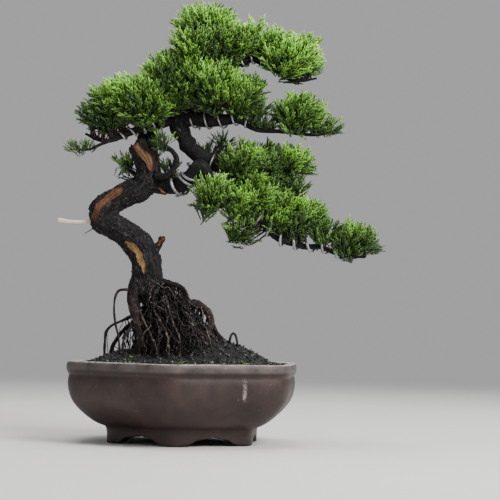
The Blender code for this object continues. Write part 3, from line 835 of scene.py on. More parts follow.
def sweep(name: str, places: np.ndarray, radii: np.ndarray, sides: int) -> bpy.types.Object:
    """A closed tube along a curve.

    Args:
        name: The piece's name.
        places: Points along the middle, in metres.
        radii: The radius at each of them.
        sides: How many sides the tube has, an even number of 4 or more.

    Returns:
        The tube as a mesh object, with its place in the mesh.
    """
    curve = bpy.data.curves.new(name, "CURVE")
    curve.dimensions = "3D"
    curve.bevel_depth = 1.0
    curve.bevel_resolution = (sides - 4) // 2
    curve.use_fill_caps = True
    spline = curve.splines.new("POLY")
    spline.points.add(len(places) - 1)
    weighted = np.column_stack([places, np.ones(len(places))])
    spline.points.foreach_set("co", weighted.astype(np.float32).ravel())
    spline.points.foreach_set("radius", np.asarray(radii, np.float32))
    activate(new_object(name, curve))
    bpy.ops.object.convert(target="MESH")
    with editing():
        bpy.ops.mesh.remove_doubles(threshold=MERGE_DISTANCE)
        bpy.ops.mesh.normals_make_consistent(inside=False)
    return bpy.context.object


def mesh_piece(name: str, points: np.ndarray, faces: np.ndarray) -> bpy.types.Object:
    """A mesh object from arrays, for shapes repeated too often to be separate objects.

    Args:
        name: The piece's name.
        points: One row for each vertex.
        faces: One row of four vertices for each face, the last two the same in a triangle.

    Returns:
        The new object.
    """
    mesh = bpy.data.meshes.new(name)
    three = faces[:, 2] == faces[:, 3]
    counts = np.where(three, 3, 4).astype(np.int32)
    keep = np.ones(faces.shape, bool)
    keep[three, 3] = False
    mesh.vertices.add(len(points))
    mesh.vertices.foreach_set("co", np.ascontiguousarray(points, np.float32).ravel())
    mesh.loops.add(int(counts.sum()))
    mesh.loops.foreach_set("vertex_index", faces[keep].astype(np.int32))
    mesh.polygons.add(len(faces))
    mesh.polygons.foreach_set("loop_start", np.concatenate([[0], np.cumsum(counts)[:-1]]).astype(np.int32))
    mesh.update(calc_edges=True)
    return new_object(name, mesh)


def thin_tubes(
    name: str, paths: Sequence[np.ndarray], radii: Sequence[np.ndarray], sides: int
) -> tuple[bpy.types.Object, np.ndarray]:
    """Many thin closed tubes in one mesh, for strands and twigs that come by the hundred.

    Args:
        name: The piece's name.
        paths: The points along each tube's middle.
        radii: The radius at each point of each tube.
        sides: How many sides a tube has.

    Returns:
        The piece, and the tube that each vertex belongs to.
    """
    turn = np.linspace(0, 2 * math.pi, sides, endpoint=False)
    here = np.arange(sides)
    after = (here + 1) % sides
    points, faces, owners = [], [], []
    start = 0
    for index, (path, thick) in enumerate(zip(paths, radii)):
        _, side, third = carried_sides(path)
        ring = side[:, None] * np.cos(turn)[None, :, None] + third[:, None] * np.sin(turn)[None, :, None]
        points.append((path[:, None] + ring * thick[:, None, None]).reshape(-1, 3))
        points.append(path[[0, -1]])
        rows = start + np.arange(len(path) - 1)[:, None] * sides
        quads = [rows + here, rows + after, rows + after + sides, rows + here + sides]
        faces.append(np.stack(quads, axis=2).reshape(-1, 4))
        low, high = start + len(path) * sides, start + len(path) * sides + 1
        last = start + (len(path) - 1) * sides
        faces.append(np.stack([np.full(sides, low), start + after, start + here, start + here], axis=1))
        faces.append(np.stack([np.full(sides, high), last + here, last + after, last + after], axis=1))
        count = len(path) * sides + 2
        owners.append(np.full(count, index))
        start += count
    return mesh_piece(name, np.concatenate(points), np.concatenate(faces)), np.concatenate(owners)


@dataclass
class Stamp:
    """A small shape's vertices and faces, to be set down many times in one mesh."""

    points: np.ndarray
    faces: np.ndarray
    tips: np.ndarray

    @classmethod
    def of(cls, piece: bpy.types.Object, tips: np.ndarray) -> "Stamp":
        """Reads a modelled shape and removes it.

        Args:
            piece: The shape, around the origin.
            tips: How near each vertex is to a tip, from 0 to 1.

        Returns:
            The stamp.
        """
        faces = np.array([(*face.vertices, face.vertices[-1])[:4] for face in piece.data.polygons])
        stamp = cls(points_of(piece), faces, tips)
        bpy.data.objects.remove(piece, do_unlink=True)
        return stamp


def turned_to(directions: np.ndarray, rolls: np.ndarray) -> np.ndarray:
    """Rotations that turn a shape's Z axis to each direction, after a roll about Z.

    Args:
        directions: One unit vector for each copy.
        rolls: An angle for each copy, in radians.

    Returns:
        One 3 by 3 matrix for each copy.
    """
    helper = np.where(np.abs(directions[:, 2:3]) < 0.95, [[0.0, 0.0, 1.0]], [[1.0, 0.0, 0.0]])
    first = unit(np.cross(helper, directions))
    second = np.cross(directions, first)
    cos, sin = np.cos(rolls)[:, None], np.sin(rolls)[:, None]
    return np.stack([first * cos + second * sin, second * cos - first * sin, directions], axis=2)


def set_down(
    name: str,
    stamps: Sequence[Stamp],
    picks: np.ndarray,
    places: np.ndarray,
    turns: np.ndarray,
    sizes: np.ndarray,
) -> tuple[bpy.types.Object, np.ndarray, np.ndarray]:
    """One mesh of many copies of some stamps.

    Args:
        name: The piece's name.
        stamps: The shapes.
        picks: Which shape each copy takes.
        places: Where each copy stands.
        turns: A 3 by 3 matrix for each copy.
        sizes: A scale for each copy.

    Returns:
        The piece, the copy that each vertex belongs to, and how near each vertex is to a tip.
    """
    points, faces, copies, tips = [], [], [], []
    count = 0
    for pick, stamp in enumerate(stamps):
        chosen = np.flatnonzero(picks == pick)
        if not len(chosen):
            continue
        moved = np.einsum("kij,nj->kni", turns[chosen], stamp.points) * sizes[chosen, None, None]
        moved += places[chosen, None]
        starts = count + np.arange(len(chosen)) * len(stamp.points)
        points.append(moved.reshape(-1, 3))
        faces.append((stamp.faces[None] + starts[:, None, None]).reshape(-1, 4))
        copies.append(np.repeat(chosen, len(stamp.points)))
        tips.append(np.tile(stamp.tips, len(chosen)))
        count += len(chosen) * len(stamp.points)
    piece = mesh_piece(name, np.concatenate(points), np.concatenate(faces))
    return piece, np.concatenate(copies), np.concatenate(tips)


# ---------------------------------------------------------------- finishes


@dataclass(frozen=True)
class FiredClay:
    """Unglazed stoneware: red-brown, mottled, chalky where it is rubbed and pale on the rim's top, with a
    painted highlight on the lip's lower edge and painted shade in the groove under it.
    """

    body: str = "#392b28"
    dark: str = "#291e1b"
    warm: str = "#4a3935"
    chalk: str = "#a39b97"
    # the pale of the rubbed corner and the rim's top, and of a painted highlight on the lip's edge
    pale_mark_and_highlight: str = "#a8a19e"
    # painted shade in the groove under the lip
    grime: str = "#1d1412"
    mottle_mm: float = 30.0
    patch_mm: float = 70.0
    scratch_mm: float = 5.0
    rub_mm: float = 4.2
    grain_mm: float = 1.1

    def make(self) -> bpy.types.Material:
        """Makes the material.

        Returns:
            The clay.
        """
        sheet = Sheet("unglazed_stoneware")
        place = sheet.place()
        mottle = sheet.noise(place, self.mottle_mm, 5.0, 0.62)
        colour = sheet.ramp(mottle, (0.28, self.dark), (0.5, self.body), (0.74, self.warm))
        # fine sandy specks in the clay
        sand = sheet.noise(place, self.grain_mm, 3.0)
        colour = sheet.mix(0.35, colour, sheet.ramp(sand, (0.3, "#1f1715"), (0.7, "#8d7a73")), "OVERLAY")
        # thin chalky rubs, longest sideways and only in some places
        rubs = sheet.spread(sheet.noise(sheet.scaled(place, 0.45, 1.0), self.rub_mm, 8.0, 0.76), 0.62, 0.76)
        patches = sheet.spread(sheet.noise(place, self.patch_mm, 2.0), 0.46, 0.66)
        colour = sheet.mix(sheet.maths("MULTIPLY", rubs, patches), colour, linear(self.chalk))
        # the rim's top and the rubbed corner are pale, unevenly, and the lip's lower edge has a painted
        # highlight
        scratches = sheet.noise(place, self.scratch_mm, 6.0, 0.7)
        pale_mark_and_highlight = sheet.spread(sheet.maths("MULTIPLY", sheet.read("wear"), scratches), 0.30, 0.62)
        colour = sheet.mix(pale_mark_and_highlight, colour, linear(self.pale_mark_and_highlight))
        # the lip's band goes a little paler where the mottle is light
        tint = sheet.maths("MULTIPLY", sheet.read("rim_band"), sheet.spread(mottle, 0.3, 0.7, 0.03, 0.2))
        colour = sheet.mix(tint, colour, linear(self.pale_mark_and_highlight))
        # painted shade darkens the groove under the lip
        colour = sheet.mix(sheet.read("grime"), colour, linear(self.grime))
        rough = sheet.spread(sand, to_low=0.4, to_high=0.62)
        sheet.surface({"Base Color": colour, "Specular IOR Level": 0.35, "Roughness": rough})
        sheet.bump(sand, 0.35, 0.5)
        return sheet.material


@dataclass(frozen=True)
class Bark:
    """Old juniper bark: long dark strips, pale on their ridges with dust and a painted sheen, with bare wood
    where a mask says.
    """

    deep: str = "#070606"
    strip: str = "#151313"
    ridge: str = "#242122"
    # the ridges' pale colour: part dust, part a painted sheen
    dust: str = "#4c4848"
    dust_and_sheen_from: float = 0.68
    fibre_mm: float = 1.3
    flake_mm: float = 2.4

    def make(self, name: str) -> bpy.types.Material:
        """Makes the material.

        Args:
            name: The wood's name.

        Returns:
            The bark.
        """
        sheet = Sheet(name)
        grain = sheet.read("grain", "Vector")
        fibre = sheet.noise(sheet.scaled(grain, 1.0, 0.16), self.fibre_mm, 6.0, 0.7)
        flake = sheet.noise(sheet.place(), self.flake_mm, 6.0, 0.7)
        both = sheet.maths("ADD", fibre, flake)
        height = sheet.spread(sheet.maths("MULTIPLY_ADD", sheet.read("ridge"), 0.4, both), 0.85, 1.6)
        # the ridges' highest parts go pale, part dust and part a painted sheen, here and in the washed brown
        # below
        stops = ((0.12, self.deep), (0.45, self.strip), (self.dust_and_sheen_from, self.ridge), (0.95, self.dust))
        bark = sheet.ramp(height, *stops)
        # low on the trunk the bark is washed brown
        brown = sheet.ramp(height, (0.1, "#120c0a"), (0.45, "#30241f"), (0.7, "#4f3f39"), (0.95, "#86766e"))
        bark = sheet.mix(sheet.read("washed"), bark, brown)
        # bare wood in long streaks, from orange where it is fresh to pale yellow where it is dry
        streak = sheet.scaled(grain, 1.0, 0.06)
        lines = sheet.noise(streak, 1.6, 5.0, 0.6)
        fresh = sheet.ramp(lines, (0.3, "#2a160d"), (0.45, "#4a2c1a"), (0.6, "#6d462c"), (0.75, "#8f6243"))
        dry = sheet.ramp(lines, (0.3, "#4f3820"), (0.43, "#7f6238"), (0.58, "#ad8a58"), (0.75, "#d0b885"))
        dryness = sheet.maths("ADD", sheet.read("bare_tone"), sheet.noise(streak, 6.0, 3.0))
        wood = sheet.mix(sheet.spread(dryness, 0.75, 1.25), fresh, dry)
        # the bark's edge round the bare wood is ragged and stained
        ragged = sheet.maths("ADD", sheet.read("bare"), flake)
        mask = sheet.spread(ragged, 1.0, 1.16)
        edged = sheet.mix(sheet.spread(ragged, 0.78, 0.98), bark, linear("#2a1410"))
        colour = sheet.mix(mask, edged, wood)
        rough = sheet.spread(mask, to_low=0.86, to_high=0.55)
        sheet.surface({"Base Color": colour, "Roughness": rough, "Specular IOR Level": 0.3})
        sheet.bump(both, 0.8, 1.0)
        return sheet.material


@dataclass(frozen=True)
class BleachedWood:
    """Dead wood whitened with lime sulphur, with fine grey splits along it."""

    def make(self) -> bpy.types.Material:
        """Makes the material.

        Returns:
            The dead wood.
        """
        sheet = Sheet("bleached_dead_wood")
        grain = sheet.read("grain", "Vector")
        lines = sheet.noise(sheet.scaled(grain, 1.0, 0.07), 0.9, 5.0, 0.65)
        colour = sheet.ramp(lines, (0.25, "#7c7264"), (0.42, "#bdb3a2"), (0.65, "#dcd5c6"), (0.85, "#efeadf"))
        stain = sheet.spread(sheet.noise(grain, 3.5, 3.0), 0.66, 0.74)
        sheet.surface({"Base Color": sheet.mix(stain, colour, linear("#51463a")), "Roughness": 0.62})
        sheet.bump(lines, 0.3, 0.8)
        return sheet.material


@dataclass(frozen=True)
class Foliage:
    """Scale-leaved shoots: deep green inside, fresh yellow-green at the tips, with painted light and shade
    carried in the tone.
    """

    inner: str = "#3b5a22"
    middle: str = "#74a53f"
    fresh: str = "#9bd44c"
    tip: str = "#cdf07c"
    scale_mm: float = 0.9

    def make(self) -> bpy.types.Material:
        """Makes the material.

        Returns:
            The foliage.
        """
        sheet = Sheet("juniper_scale_foliage")
        # the tone holds random variation, painted light on a pad's upper shoots and painted shade on tufts
        # behind others
        tone = sheet.read("tone")
        youth_and_light = sheet.spread(tone, to_low=-0.28, to_high=0.16)
        age = sheet.maths("MULTIPLY_ADD", sheet.read("tip"), tone, youth_and_light)
        green = sheet.ramp(age, (0.06, self.inner), (0.36, self.middle), (0.66, self.fresh), (0.98, self.tip))
        cells = {"Vector": sheet.place(), "Scale": per_metre(self.scale_mm)}
        scales = sheet.add("TexVoronoi", cells).outputs["Distance"]
        fine = sheet.ramp(scales, (0.0, "#a6a6a6"), (0.6, "#5c5c5c"))
        sheet.surface({
            "Base Color": sheet.mix(0.4, green, fine, "OVERLAY"),
            "Roughness": 0.42,
            "Specular IOR Level": 0.5,
            "Subsurface Weight": 0.12,
            "Subsurface Radius": (0.0006, 0.0012, 0.0003),
        })
        sheet.bump(scales, 0.25, 0.5)
        return sheet.material


@dataclass(frozen=True)
class Grit:
    """Dark volcanic and akadama crumbs, damp, with a few pale and mossy ones."""

    crumb_mm: float = 0.8

    def make(self) -> bpy.types.Material:
        """Makes the material.

        Returns:
            The soil.
        """
        sheet = Sheet("bonsai_soil_grit")
        crumb = sheet.noise(sheet.place(), self.crumb_mm, 4.0, 0.7)
        stops = ((0.0, "#0f0f0f"), (0.4, "#222121"), (0.7, "#3c3b39"), (0.84, "#5f5c56"), (0.91, "#9b988e"))
        colour = sheet.ramp(sheet.read("tone"), *stops, (0.955, "#3f5226"), (1.0, "#6e8238"))
        speck = sheet.ramp(crumb, (0.3, "#4d4d4d"), (0.72, "#a8a8a8"))
        sheet.surface({"Base Color": sheet.mix(0.7, colour, speck, "OVERLAY"), "Roughness": 0.9})
        sheet.bump(crumb, 0.5, 0.8)
        return sheet.material


@dataclass(frozen=True)
class AnodisedWire:
    """Soft aluminium training wire, dull grey with fine draw lines and small dents."""

    def make(self) -> bpy.types.Material:
        """Makes the material.

        Returns:
            The wire.
        """
        sheet = Sheet("aluminium_training_wire")
        dull = sheet.noise(sheet.place(), 6.0, 4.0, 0.65)
        colour = sheet.ramp(dull, (0.3, "#6e6e6d"), (0.55, "#9a9b9b"), (0.8, "#c4c5c6"))
        rough = sheet.spread(dull, to_low=0.36, to_high=0.56)
        sheet.surface({"Base Color": colour, "Metallic": 0.75, "Roughness": rough})
        sheet.bump(dull, 0.12, 0.5)
        return sheet.material


@dataclass(frozen=True)
class ScreenPlastic:
    """Black polypropylene mesh, a little dusty."""

    def make(self) -> bpy.types.Material:
        """Makes the material.

        Returns:
            The plastic.
        """
        sheet = Sheet("drainage_screen_plastic")
        dust = sheet.noise(sheet.place(), 3.0, 4.0)
        sheet.surface({"Base Color": sheet.ramp(dust, (0.4, "#151515"), (0.8, "#3a3733")), "Roughness": 0.55})
        sheet.bump(dust, 0.1, 0.4)
        return sheet.material


# The light of the room all round, which the floor fades into
ROOM_COLOUR = "#dededf"
ROOM_STRENGTH = 0.56


@dataclass(frozen=True)
class StudioFloor:
    """Pale seamless paper, slightly uneven in tone, that fades into the room's light far from the pot."""

    cloud_mm: float = 700.0
    fade_from: float = 0.5
    fade_to: float = 2.4

    def make(self) -> bpy.types.Material:
        """Makes the material.

        Returns:
            The floor.
        """
        sheet = Sheet("studio_paper")
        place = sheet.place()
        paper = sheet.ramp(sheet.noise(place, self.cloud_mm, 2.0), (0.3, "#d2d0cd"), (0.7, "#d9d7d4"))
        reach = sheet.add("VectorMath", {0: place}, operation="LENGTH").outputs["Value"]
        bounds = {0: reach, 1: self.fade_from, 2: self.fade_to}
        far = sheet.add("MapRange", bounds, interpolation_type="SMOOTHSTEP").outputs[0]
        sheet.surface({
            "Base Color": sheet.mix(far, paper, linear("#000000")),
            "Emission Color": linear(ROOM_COLOUR),
            "Emission Strength": sheet.maths("MULTIPLY", far, ROOM_STRENGTH),
            "Specular IOR Level": sheet.spread(far, to_low=0.4, to_high=0.0),
            "Roughness": 0.9,
        })
        return sheet.material


# ---------------------------------------------------------------- pot and soil


@dataclass
class Pot:
    """The six-sided pot, formed slightly uneven, with its screen and clip."""

    clay: bpy.types.Material
    plastic: bpy.types.Material
    metal: bpy.types.Material
    rounding: int = 2
    unevenness_mm: float = 0.5
    even_below_mm: float = 2.0  # the foot's flat face, which stays true
    lip_mm: float = 10.0
    lip_edge_mm: float = 9.6
    groove_mm: float = 11.6
    hard_edge: float = math.radians(38)

    def build(self) -> None:
        """Builds the pot, and dresses the drainage pieces, which stay as the CAD has them."""
        pot = copy_of_node("pot", "hexagonal_pot")
        self.keep_edges(pot)
        subdivide(pot, self.rounding)
        points = points_of(pot)
        wobble = smooth_noise(points, 0.045, 3.0) + 0.4 * smooth_noise(points, 0.012, 8.0)
        raised = np.clip((points[:, 2] / MM - self.even_below_mm) / 6, 0, 1)
        push_out(pot, wobble * raised * self.unevenness_mm * MM)
        below_rim = (RIM.z - points[:, 2]) / MM
        pale_rim_top = np.clip((2.2 - below_rim) / 1.4, 0, 1)
        # a painted highlight along the lip's lower edge
        highlit_lip_edge = around(below_rim, self.lip_edge_mm, 1.0) * 0.75
        set_attributes(
            pot,
            wear=np.max([pale_rim_top, highlit_lip_edge, self.corner_wear(points)], axis=0),
            rim_band=np.clip((self.lip_mm - below_rim) / 2, 0, 1),
            # painted shade in the groove under the lip
            grime=around(below_rim, self.groove_mm, 1.6) * 0.7,
        )
        finish_piece(pot, Slot.CLAY, self.clay, "pot")
        for node, slot, finish in (
            ("drain_screen", Slot.PLASTIC, self.plastic),
            ("drain_clip", Slot.WIRE, self.metal),
        ):
            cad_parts[node].data.materials.clear()
            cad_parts[node].data.materials.append(finish)

    def corner_wear(self, points: np.ndarray) -> np.ndarray:
        """How far the front right corner is rubbed pale.

        Args:
            points: The pot's points.

        Returns:
            From 0 to 1, strongest in the upper half of the corner.
        """
        x, _, z = ((points - np.array(RIM)) / MM).T
        wandering = 4 * smooth_noise(points, 0.03, 6.0)
        high = np.clip(1.3 - np.abs(z + 30) / 26, 0, 1)
        return around(x - wandering, 72, 8.0) * high * (points[:, 1] < 0)

    def keep_edges(self, pot: bpy.types.Object) -> None:
        """Creases the foot's and the arches' hard edges, so that rounding leaves them.

        Args:
            pot: The joined copy of the pot.
        """
        shape = bmesh.new()
        shape.from_mesh(pot.data)
        crease = shape.edges.layers.float.new("crease_edge")
        for edge in shape.edges:
            if len(edge.link_faces) == 2 and edge.calc_face_angle() > self.hard_edge:
                edge[crease] = 0.75 if edge.verts[0].co.z > 20 * MM else 0.9
        shape.to_mesh(pot.data)
        shape.free()


# Heaps on the soil: middle, height and spread in mm from the rim's middle
SOIL_HEAPS = [((72, -6), 7.0, (22, 34)), ((44, -8), 4.5, (18, 26)), ((-80, -8), 2.0, (18, 24))]


@dataclass
class Soil:
    """The soil's body and the loose grit, moss and fallen tips on it."""

    grit: bpy.types.Material
    leaves: bpy.types.Material
    grains: int = 6400
    grain_mm: tuple[float, float] = (0.75, 2.1)
    lowest_mm: float = -7.0  # from the rim: grit lies on the soil's top only
    moss_from: float = 0.18
    fallen: int = 46
    seed: int = 11

    def build(self, spray: Stamp) -> None:
        """Builds the soil.

        Args:
            spray: A foliage stamp, for the fallen tips.
        """
        body = copy_of_node("soil", "soil_body")
        subdivide(body, 2)
        points, outwards = points_of(body), normals_of(body)
        high = np.clip((points[:, 2] - (RIM.z - 6 * MM)) / (2 * MM), 0, 1)
        upper = high * np.clip(outwards[:, 2] * 2, 0, 1)
        rough = smooth_noise(points, 0.006, 2.0) * 1.6 + smooth_noise(points, 0.0025, 4.0) * 0.9
        for (x, y), lift, (wide, deep) in SOIL_HEAPS:
            flat = (points[:, :2] - np.array(from_rim(x, y, 0))[:2]) / (wide * MM, deep * MM)
            rough += lift * np.exp(-(flat**2).sum(axis=1))
        push_out(body, rough * upper * MM)
        set_attributes(body, tone=np.clip(0.35 + 0.3 * smooth_noise(points, 0.004, 6.0), 0, 0.8))
        finish_piece(body, Slot.SOIL, self.grit, "soil")
        self.scatter(body, spray)

    def pebble(self) -> Stamp:
        """Models one crumb of grit.

        Returns:
            The crumb as a stamp of one unit across.
        """
        deselect_all()
        bpy.ops.mesh.primitive_ico_sphere_add(subdivisions=1, radius=1.0)
        crumb = bpy.context.object
        with editing():
            bpy.ops.transform.resize(value=(1.0, 0.82, 0.66))
            bpy.ops.transform.vertex_random(offset=0.22, seed=5)
        return Stamp.of(crumb, np.zeros(len(crumb.data.vertices)))

    def scatter(self, body: bpy.types.Object, spray: Stamp) -> None:
        """Strews grit and fallen tips over the soil.

        Args:
            body: The soil's body.
            spray: A foliage stamp.
        """
        random = np.random.default_rng(self.seed)
        lowest = RIM.z + self.lowest_mm * MM
        tops = [face for face in body.data.polygons if face.normal.z > 0.35 and face.center.z > lowest]
        centres = np.array([face.center for face in tops])
        spread = np.array([math.sqrt(face.area) for face in tops])
        weights = spread**2 / (spread**2).sum()

        def places_for(count: int) -> np.ndarray:
            """Random places on the soil's top.

            Args:
                count: How many.

            Returns:
                One row for each place.
            """
            picked = random.choice(len(tops), count, p=weights)
            shift = random.uniform(-0.6, 0.6, (count, 3)) * spread[picked, None]
            shift[:, 2] *= 0.2
            return centres[picked] + shift

        places = places_for(self.grains)
        low, high = self.grain_mm
        sizes = (low + (high - low) * random.random(self.grains) ** 2.4) * MM
        places[:, 2] += sizes * random.uniform(-0.1, 0.7, self.grains)
        directions = unit(random.normal(size=(self.grains, 3)))
        turns = turned_to(directions, random.uniform(0, 2 * math.pi, self.grains))
        picks = np.zeros(self.grains, int)
        grit, copies, _ = set_down("soil_grit", [self.pebble()], picks, places, turns, sizes)
        moss = smooth_noise(places, 0.022, 12.0)
        tones = random.random(self.grains) * np.where(moss > self.moss_from, 1.0, 0.93)
        set_attributes(grit, tone=tones[copies])
        finish_piece(grit, Slot.SOIL, self.grit, smooth=False)

        places = places_for(self.fallen)
        places[:, 2] += 1.6 * MM
        flat = unit(random.normal(size=(self.fallen, 3)) * (1, 1, 0.18))
        turns = turned_to(flat, random.uniform(0, 2 * math.pi, self.fallen))
        sizes = random.uniform(0.25, 0.5, self.fallen)
        picks = np.zeros(self.fallen, int)
        bits, copies, tips = set_down("fallen_tips", [spray], picks, places, turns, sizes)
        set_attributes(bits, tip=tips, tone=random.uniform(0.3, 0.75, self.fallen)[copies])
        finish_piece(bits, Slot.LEAVES, self.leaves)


# ---------------------------------------------------------------- wood


@dataclass
class Wood:
    """Everything that has bark: the trunk with its thick roots, the branches and the fine roots."""

    bark: bpy.types.Material
    dark_root: bpy.types.Material
    pale_root: bpy.types.Material
    bleached: bpy.types.Material
    trunk_voxel_mm: float = 0.9
    bark_mm: float = 1.8
    lump_mm: float = 2.2
    carved_mm: float = 1.2
    shrink_mm: float = 0.7
    washed_below_mm: float = 84.0
    full_bark_radius: float = 0.013  # thinner wood has thinner bark
    tubes: dict[str, tuple[np.ndarray, np.ndarray]] = field(default_factory=dict)

    def build(self) -> None:
        """Builds the trunk, then the branches, the roots and the dead stick."""
        self.build_trunk()
        for name, route in BRANCHES.items():
            self.build_limb(name, route, self.bark, ridges=0.11, knuckles=0.12)
        for name, route in FINE_ROOTS.items():
            finish = self.pale_root if name.startswith("root_front") else self.dark_root
            self.build_limb(name, route, finish, ridges=0.12, knuckles=0.2)
        self.build_jin()
        self.build_extras()

    def bark_height(
        self, coords: np.ndarray, points: np.ndarray, radii: np.ndarray
    ) -> tuple[np.ndarray, np.ndarray]:
        """How far bark stands out, in long strips broken into flakes.

        Args:
            coords: Straightened coordinates.
            points: The places themselves.
            radii: The wood's radius at each.

        Returns:
            The height in metres, and the same between 0 and 1 for the colour.
        """
        strips = 1 - 2.4 * np.abs(smooth_noise(coords * (1, 1, 0.22), 0.0036, 1.0))
        flakes = 1 - 2.4 * np.abs(smooth_noise(coords * (1, 1, 0.5), 0.0046, 7.0))
        crumbs = smooth_noise(points, 0.0024, 9.0) + 0.7 * smooth_noise(points, 0.0013, 4.0)
        mixed = 0.42 * strips + 0.38 * flakes + 0.6 * crumbs
        depth = self.bark_mm * MM * np.clip(radii / self.full_bark_radius, 0.15, 1.1)
        return mixed * depth, np.clip(0.2 + 0.8 * mixed, 0, 1)

    def bare_mask(self, points: np.ndarray, outwards: np.ndarray) -> tuple[np.ndarray, np.ndarray]:
        """Where the trunk's front has lost its bark.

        Args:
            points: The surface's points.
            outwards: Their normals.

        Returns:
            From 0 on bark to 1 on bare wood, and how dry and pale the wood is.
        """
        mask, tones = np.zeros(len(points)), np.zeros(len(points))
        flat = (points - np.array(RIM)) / MM
        ragged = smooth_noise(points * (1, 1, 0.5), 0.005, 3.0) * 1.3
        ragged += smooth_noise(points, 0.0018, 8.0) * 0.7
        for tone, strip in BARE_STRIPS:
            for (x0, z0, w0), (x1, z1, w1) in zip(strip, strip[1:]):
                start, step = np.array([x0, z0]), np.array([x1 - x0, z1 - z0])
                share = np.clip(((flat[:, [0, 2]] - start) @ step) / (step @ step), 0, 1)
                apart = np.linalg.norm(flat[:, [0, 2]] - start - share[:, None] * step, axis=1)
                width = w0 + (w1 - w0) * share
                found = np.clip((width - apart + ragged) / 1.8 + 0.5, 0, 1)
                tones = np.where(found > mask, tone, tones)
                mask = np.maximum(mask, found)
        return mask * (outwards[:, 1] < 0.25) * (points[:, 1] < RIM.y + 8 * MM), tones

    def build_trunk(self) -> None:
        """Refines the trunk's copy and roughens it along its grain."""
        trunk = copy_of_node("trunk", "trunk_and_roots")
        apply_modifier(trunk, "REMESH", mode="VOXEL", voxel_size=self.trunk_voxel_mm * MM)
        apply_modifier(trunk, "SMOOTH", factor=0.5, iterations=4)
        grain = Grain([TRUNK_ROUTE, LIVE_LINE, DIAGONAL_BASE, SNAG, SPLIT_STUB, *THICK_ROOTS])
        points, outwards = points_of(trunk), normals_of(trunk)
        coords, radii = grain.read(points)
        bare, bare_tone = self.bare_mask(points, outwards)
        lumps = smooth_noise(points, 0.016, 5.0) * self.lump_mm * MM
        lumps *= np.clip(radii / self.full_bark_radius, 0.2, 1.0)
        for x, y, z, reach, lift in KNOBS:
            apart = np.linalg.norm(points - np.array(from_rim(x, y, z)), axis=1) / (reach * MM)
            lumps += np.exp(-(apart**2)) * lift * MM
        height, ridge = self.bark_height(coords, points, radii)
        callus = around(bare, 0.3, 0.3) * (0.0016 + 0.002 * smooth_noise(points, 0.005, 2.0))
        carved = -self.carved_mm * MM * np.clip(bare * 1.6 - 0.4, 0, 1) + height * 0.15
        total = np.where(bare > 0.5, carved, height) + lumps + callus - self.shrink_mm * MM
        push_out(trunk, total)
        low = np.clip((RIM.z + self.washed_below_mm * MM - points[:, 2]) / (34 * MM), 0, 1)
        washed = low * np.clip(0.75 + 0.9 * smooth_noise(points, 0.012, 4.0), 0.15, 1)
        set_attributes(trunk, grain=coords, ridge=ridge, bare=bare, bare_tone=bare_tone, washed=washed)
        finish_piece(trunk, Slot.BARK, self.bark, "trunk")

    def build_limb(
        self, name: str, route: Route, finish: bpy.types.Material, ridges: float, knuckles: float
    ) -> None:
        """Builds one branch or root.

        Args:
            name: The CAD node that it stands for.
            route: Its route.
            finish: Its bark.
            ridges: The depth of its bark over its radius.
            knuckles: The depth of its swellings over its radius.
        """
        places, radii = resampled(route, 1.0 * MM)
        seed = float(len(name) * 3 + len(route))
        swell = smooth_noise(np.arange(len(places))[:, None] * (1.0, 0.3, 0.1) * MM, 0.009, seed)
        radii = radii * (1 + knuckles * 1.6 * swell)
        sides = 20 if radii.max() > 4 * MM else 12
        limb = sweep(name + "_wood", places, radii, sides)
        self.tubes[name] = (places, radii)
        points = points_of(limb)
        coords, local = Grain([route]).read(points)
        long = coords * (1.0, 1.0, 0.25)
        strips = 1 - 2.6 * np.abs(smooth_noise(long, 0.0028, seed))
        crumbs = smooth_noise(points, 0.0026, seed + 4)
        mixed = 0.6 * strips + 0.5 * crumbs
        push_out(limb, mixed * ridges * local)
        set_attributes(limb, grain=coords, ridge=np.clip(mixed, 0, 1))
        finish_piece(limb, Slot.BARK, finish, name)

    def build_extras(self) -> None:
        """Builds the growth that the CAD leaves out."""
        for name, route in EXTRA_ROOTS.items():
            places, radii = resampled(route, 1.0 * MM)
            limb = sweep(name, places, radii, 10)
            points = points_of(limb)
            coords, _ = Grain([route]).read(points)
            set_attributes(limb, grain=coords, ridge=0.5 + smooth_noise(points, 0.003, 2.0))
            finish_piece(limb, Slot.BARK, self.dark_root)

    def build_jin(self) -> None:
        """Builds the bleached stick, split along its length and broken off square."""
        places, radii = resampled(JIN_STICK, 0.8 * MM)
        stick = sweep("jin_stick_wood", places, radii, 20)
        coords, local = Grain([JIN_STICK]).read(points_of(stick))
        push_out(stick, smooth_noise(coords * (1, 1, 0.06), 0.0013, 2.0) * 0.16 * local)
        set_attributes(stick, grain=coords)
        finish_piece(stick, Slot.DEAD_WOOD, self.bleached, "jin_stick")


# Thick roots that thin strands hang from, and how many
HANGING_FROM = [
    (THICK_ROOTS[0][2:], 14), (THICK_ROOTS[1][1:5], 34), (THICK_ROOTS[2], 44), (THICK_ROOTS[3][1:], 22),
    (FINE_ROOTS["root_outer_left"][1:5], 5), (FINE_ROOTS["root_thick_left"][1:5], 9),
    (FINE_ROOTS["root_creeping"][1:6], 12),
]


